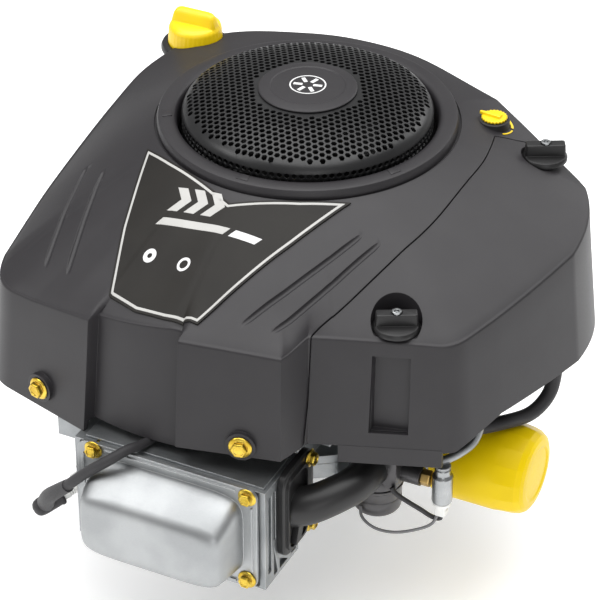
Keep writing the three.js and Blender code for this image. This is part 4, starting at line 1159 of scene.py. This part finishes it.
def make_block():
    ears = [polar(FLANGE_BOLT_R, degrees) for degrees in (45, 135, 225, 315)]
    cavity = join(
        post(0, 0, SUMP_FLOOR, SUMP_TOP + 5, CAVITY_R, 96),
        post(CAM_X, 0, SUMP_FLOOR, SUMP_TOP + 5, CAM_CAVITY_R, 72))
    cavity = cut(cavity, post(0, 0, 0, 12, 28, 72), post(CAM_X, 0, 0, 12, 13, 48))
    rim = [(SUMP_R - 1.5, 0), (SUMP_R, 1.5), (SUMP_R, SUMP_TOP)]
    ear = [(15.5, 0), (17, 1.5), (17, SUMP_TOP - 1.5), (15.5, SUMP_TOP)]
    sump = join(
        turned(0, 0, rim, 128), post(CAM_X, 0, 0, SUMP_TOP, CAM_CASE_R, 96),
        *[turned(x, y, ear, 48) for x, y in ears])
    bolt_tools = [post(*polar(100, d), -1, 3.4, 7, 32) for d in range(22, 360, 45)]
    sump = cut(
        sump, cavity, post(0, 0, -1, 20, JOURNAL_R + 0.2), post(CAM_X, 0, SUMP_FLOOR, 20, 7.2, 32),
        *[post(x, y, -1, 20, 5.2, 32) for x, y in ears], *bolt_tools)
    piece("sump_casting", sump, "cast_aluminium", replaces=["oil_sump"])
    for k, degrees in enumerate(range(22, 360, 45)):
        x, y = polar(100, degrees)
        head = rounded(post(x, y, 0.2, 3.4, 5.4, 6), 0.4)
        piece(f"sump_screw_{k + 1}", head, "steel", smooth=25)

    base = SUMP_TOP + GAP
    barrel = join(block(-54, 54, DECK_Y, -100, 11.5, 117), block(-54, 54, -121, -60, base, 117))
    fins = [
        rounded(block(-61, 63, y, y + 2.5, 22, 118), 0.5)
        for y in (-197, -192, -187, -182, -177, -172, -167, -162, -157, -152, -147, -142)]
    wells = [
        turned(x, 0, [(r, base), (r, CASE_TOP - 2), (r - 2, CASE_TOP)], sides)
        for x, r, sides in ((0, CASE_R, 128), (CAM_X, CAM_CASE_R, 96))]
    filter_y, filter_z = FILTER["y"], FILTER["z"]
    case = join(
        *wells,
        post(0, 0, base, base + 8, SUMP_R, 128), cut(barrel, post(0, 0, 0, base, SUMP_R + 3, 96)), *fins,
        block(-80, -53, DECK_Y, -40, 40, 92),
        rod((*polar(70, 65), 75), (*polar(89.2, 65), 75), 12, 48),
        block(0, 72, -104, -50, 40, 78), rod((70, filter_y, filter_z), (98, filter_y, filter_z), 18, 64),
        *[spoke(d, 80, 116, 5, base, 74) for d in (15, 40, 68, 92, 116, 140)])
    case = cut(
        case, post(0, 0, 0, 110, CAVITY_R, 96), post(CAM_X, 0, 0, 110, CAM_CAVITY_R, 72),
        rod((0, -210, CYLINDER_Z), (0, -40, CYLINDER_Z), BORE_R, 72),
        post(0, 0, 100, 130, JOURNAL_R + 0.2), post(CAM_X, 0, 105, 118, 7.2, 32),
        rod((40, filter_y, filter_z), (99, filter_y, filter_z), 8, 32),
        *[rod((PUSHROD_X, -210, z), (PUSHROD_X, -30, z), 5, 24) for z in VALVE_Z],
        post(-89, 78, 20, 60, 11.6, 48))
    piece("crankcase_casting", case, "cast_aluminium", replaces=["crankcase"])


def crank_web(z0, z1):
    counterweight = cut(post(0, 0, z0, z1, 52, 96), block(-60, 60, -60, -6, z0 - 1, z1 + 1))
    plate = join(
        counterweight, post(0, 0, z0, z1, 26, 72),
        post(0, -THROW, z0, z1, 18.5, 64), block(-18, 18, -THROW, 0, z0, z1))
    return rounded(plate, 0.8)


def gear_disc(x, y, z0, z1, root, tip, teeth):
    outline = []
    for i in range(teeth):
        for share, r in ((0.0, root), (0.3, root), (0.42, tip), (0.58, tip), (0.7, root)):
            u, v = polar(r, 360 * (i + share - 0.5) / teeth)
            outline.append((x + u, y + v))
    return oriented(prism(outline, z0, z1))


def make_crank():
    low, high = CRANK_WEBS
    shaft = join(
        turned(0, 0, [(SHAFT_R - 1.2, -80), (SHAFT_R, -78.8), (SHAFT_R, 2)], 64),
        post(0, 0, -2, low + 1, JOURNAL_R), crank_web(low, low + 12),
        post(0, -THROW, low + 1, high + 1, CRANKPIN_R), crank_web(high, high + 11),
        post(0, 0, high + 5, CASE_TOP + 2, JOURNAL_R),
        gear_disc(0, 0, GEAR_Z, GEAR_Z + 7, CRANK_GEAR_R - 3, CRANK_GEAR_R - 0.25, 14),
        post(0, 0, CASE_TOP, 180, SHAFT_R), turned(0, 0, [(8, 179), (8, 195), (7, 196)], 32))
    keyway = block(-3.2, 3.2, SHAFT_R - 4, SHAFT_R + 2, -81, -34)
    shaft = cut(oriented(shaft), oriented(keyway), post(0, 0, -81, -50, 4.2, 32))
    piece("crankshaft_forging", shaft, "steel", "crank", ["crankshaft"])


def make_drive():
    x, y, r = STARTER

    def collar(inner, outer, z, height):
        profile = [(inner, z), (outer, z), (outer, z + height), (inner, z + height)]
        return ring((x, y, 0), (0, 0, 1), profile, 96)

    body = join(
        turned(x, y, [(r - 1.5, 36), (r, 37.5), (r, 126), (r - 2, 128)], 96),
        turned(x, y, [(15, 127), (15, 130), (14, 131)], 48),
        turned(x, y, [(r - 9, 30), (r - 8, 31), (r - 8, 37)], 72),
        *[collar(r - 1, r, z, 3) for z in (44, 118)])
    bands = [collar(r - 0.7, r + 1, z, 1.2) for z in (50, 112)]
    piece("starter_can", cut(body, *bands), "iron", replaces=["starter_motor"])
    y, z = FILTER["y"], FILTER["z"]
    adapter = join(
        rod((98.3, y, z), (160, y, z), 16, 64),
        revolve((159, y, z), (1, 0, 0), [(28.5, 0), (30, 1.5), (30, 8.7)], 72))
    piece("filter_adapter", adapter, "cast_aluminium", replaces=["oil_filter_adapter"])


def make_filter():
    y, z, r, x0 = (FILTER[k] for k in ("y", "z", "r", "x0"))
    flutes = 15
    rings = []
    profile = [
        (r - 2.4, 0, 0), (r - 1.6, 0.8, 0), (r - 1.6, 6, 0), (r - 0.2, 7.4, 0), (r, 9, 0), (r, 54, 0),
        (r - 0.2, 57, 0.3), (r - 0.5, 61, 1), (r - 1.2, 69, 1), (r - 2.6, 75, 0.8),
        (r - 5.4, 79.4, 0.3), (r - 9, 81.2, 0), (r - 14, 81.8, 0), (r - 15, 81.4, 0),
        (r - 16, 80.8, 0), (r - 24, 81, 0), (r - 34, 81.2, 0)]
    for radius, d, flat in profile:
        level = []
        for i in range(flutes * 10):
            angle = 2 * math.pi * i / (flutes * 10)
            local = (angle % (2 * math.pi / flutes)) - math.pi / flutes
            facet = math.cos(math.pi / flutes) / math.cos(local)
            wall = radius * (1 - flat * (1 - facet) * 0.9)
            level.append((x0 + d, y + wall * math.cos(angle), z + wall * math.sin(angle)))
        rings.append(level)
    can = loft(rings)
    piece("filter_can", oriented(can), "yellow_paint", replaces=["oil_filter"], smooth=14)


def make_filler_tube():
    wall = tube(FILLER_ROUTE, 11, 40, 3)
    bore = tube([(-89, 78, 20), *FILLER_ROUTE[1:-1], (-155, 94, 270)], 8.5, 24, 3)
    piece("filler_pipe", cut(wall, bore), "black_plastic", replaces=["dipstick_tube"], smooth=50)


def make_fan_and_flywheel():
    hub = SHAFT_R + 0.2
    z0, z1 = FLYWHEEL_Z0, FLYWHEEL_Z1
    teeth = 112
    outline = []
    for i in range(teeth * 4):
        r = FLYWHEEL_R if i % 4 < 2 else 100.6
        outline.append(polar(r, 360 * (i // 4 + (0.05, 0.4, 0.6, 0.85)[i % 4]) / teeth))
    gear = cut(prism(outline, z0, z0 + 12), post(0, 0, z0 - 1, z0 + 14, 94, 96))
    wheel = ring((0, 0, 0), (0, 0, 1), [
        (hub, 154), (26, 154), (32, z1 - 12), (88, z1 - 12), (88, z0), (99, z0), (100, z1),
        (hub, z1)], 128)
    piece("flywheel_casting", join(oriented(wheel), oriented(gear)), "iron", "crank", ["flywheel"])
    z = z1 + GAP
    body = ring((0, 0, 0), (0, 0, 1), [
        (12, z), (99, z), (99, z + 4), (30, z + 7), (25, 300), (36, 307), (36, 310.7),
        (24, 310.7), (20, 296), (22, z + 10), (12, z + 7)], 96)
    blades = []
    for k in range(9):
        start = 360 * k / 9 + 5.7
        inner, outer = [], []
        for t in (0, 0.25, 0.5, 0.75, 1):
            r = 50 + 46 * t
            sweep = start - 14 * t + 7
            inner.append(polar(r, sweep - 90 / r))
            outer.append(polar(r, sweep + 90 / r))
        blades.append(oriented(prism(inner + outer[::-1], z + 3, 237)))
    piece("fan_moulding", join(oriented(body), *blades), "black_plastic", "crank", ["cooling_fan"])


# ---------------------------------------------------------------- what the frame keeps showing

NODE_LOOKS = {
    "steel": [
        "wrist_pin", "intake_valve", "exhaust_valve", "intake_pushrod", "exhaust_pushrod",
        "intake_rocker", "exhaust_rocker", "starter_pinion", "head_gasket",
    ],
    "rubber": ["valve_cover_gasket"],
    "cast_aluminium": ["connecting_rod_big_end", "connecting_rod_small_end", "piston"],
    "iron": ["camshaft"],
    "black_plastic": ["air_cleaner_base", "ignition_coil"],
    "filter_paper": ["air_filter_element"],
    "brass": ["stator"],
}


def finish_nodes():
    for look, names in NODE_LOOKS.items():
        for name in names:
            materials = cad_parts[name].data.materials
            materials.clear()
            materials.append(LOOKS[look])


def finish_bolts():
    for i, (face, into) in enumerate(HOUSING_BOLTS):
        node = f"housing_bolt_{i + 1}"
        flange_bolt(f"housing_screw_{i + 1}", along(face, into, -1.4), into, HOUSING_SCREW_R, node)


make_camera()
make_studio()
make_floor(cad_box[0][2])
make_housing()
make_back_plate()
make_cover()
make_knobs()
make_dial()
make_filler_cap()
make_screen()
make_decal()
make_valve_cover()
make_head()
make_manifold()
make_carburettor()
make_solenoid()
make_breather()
make_ignition()
make_block()
make_crank()
make_drive()
make_filter()
make_filler_tube()
make_fan_and_flywheel()
finish_bolts()
finish_nodes()
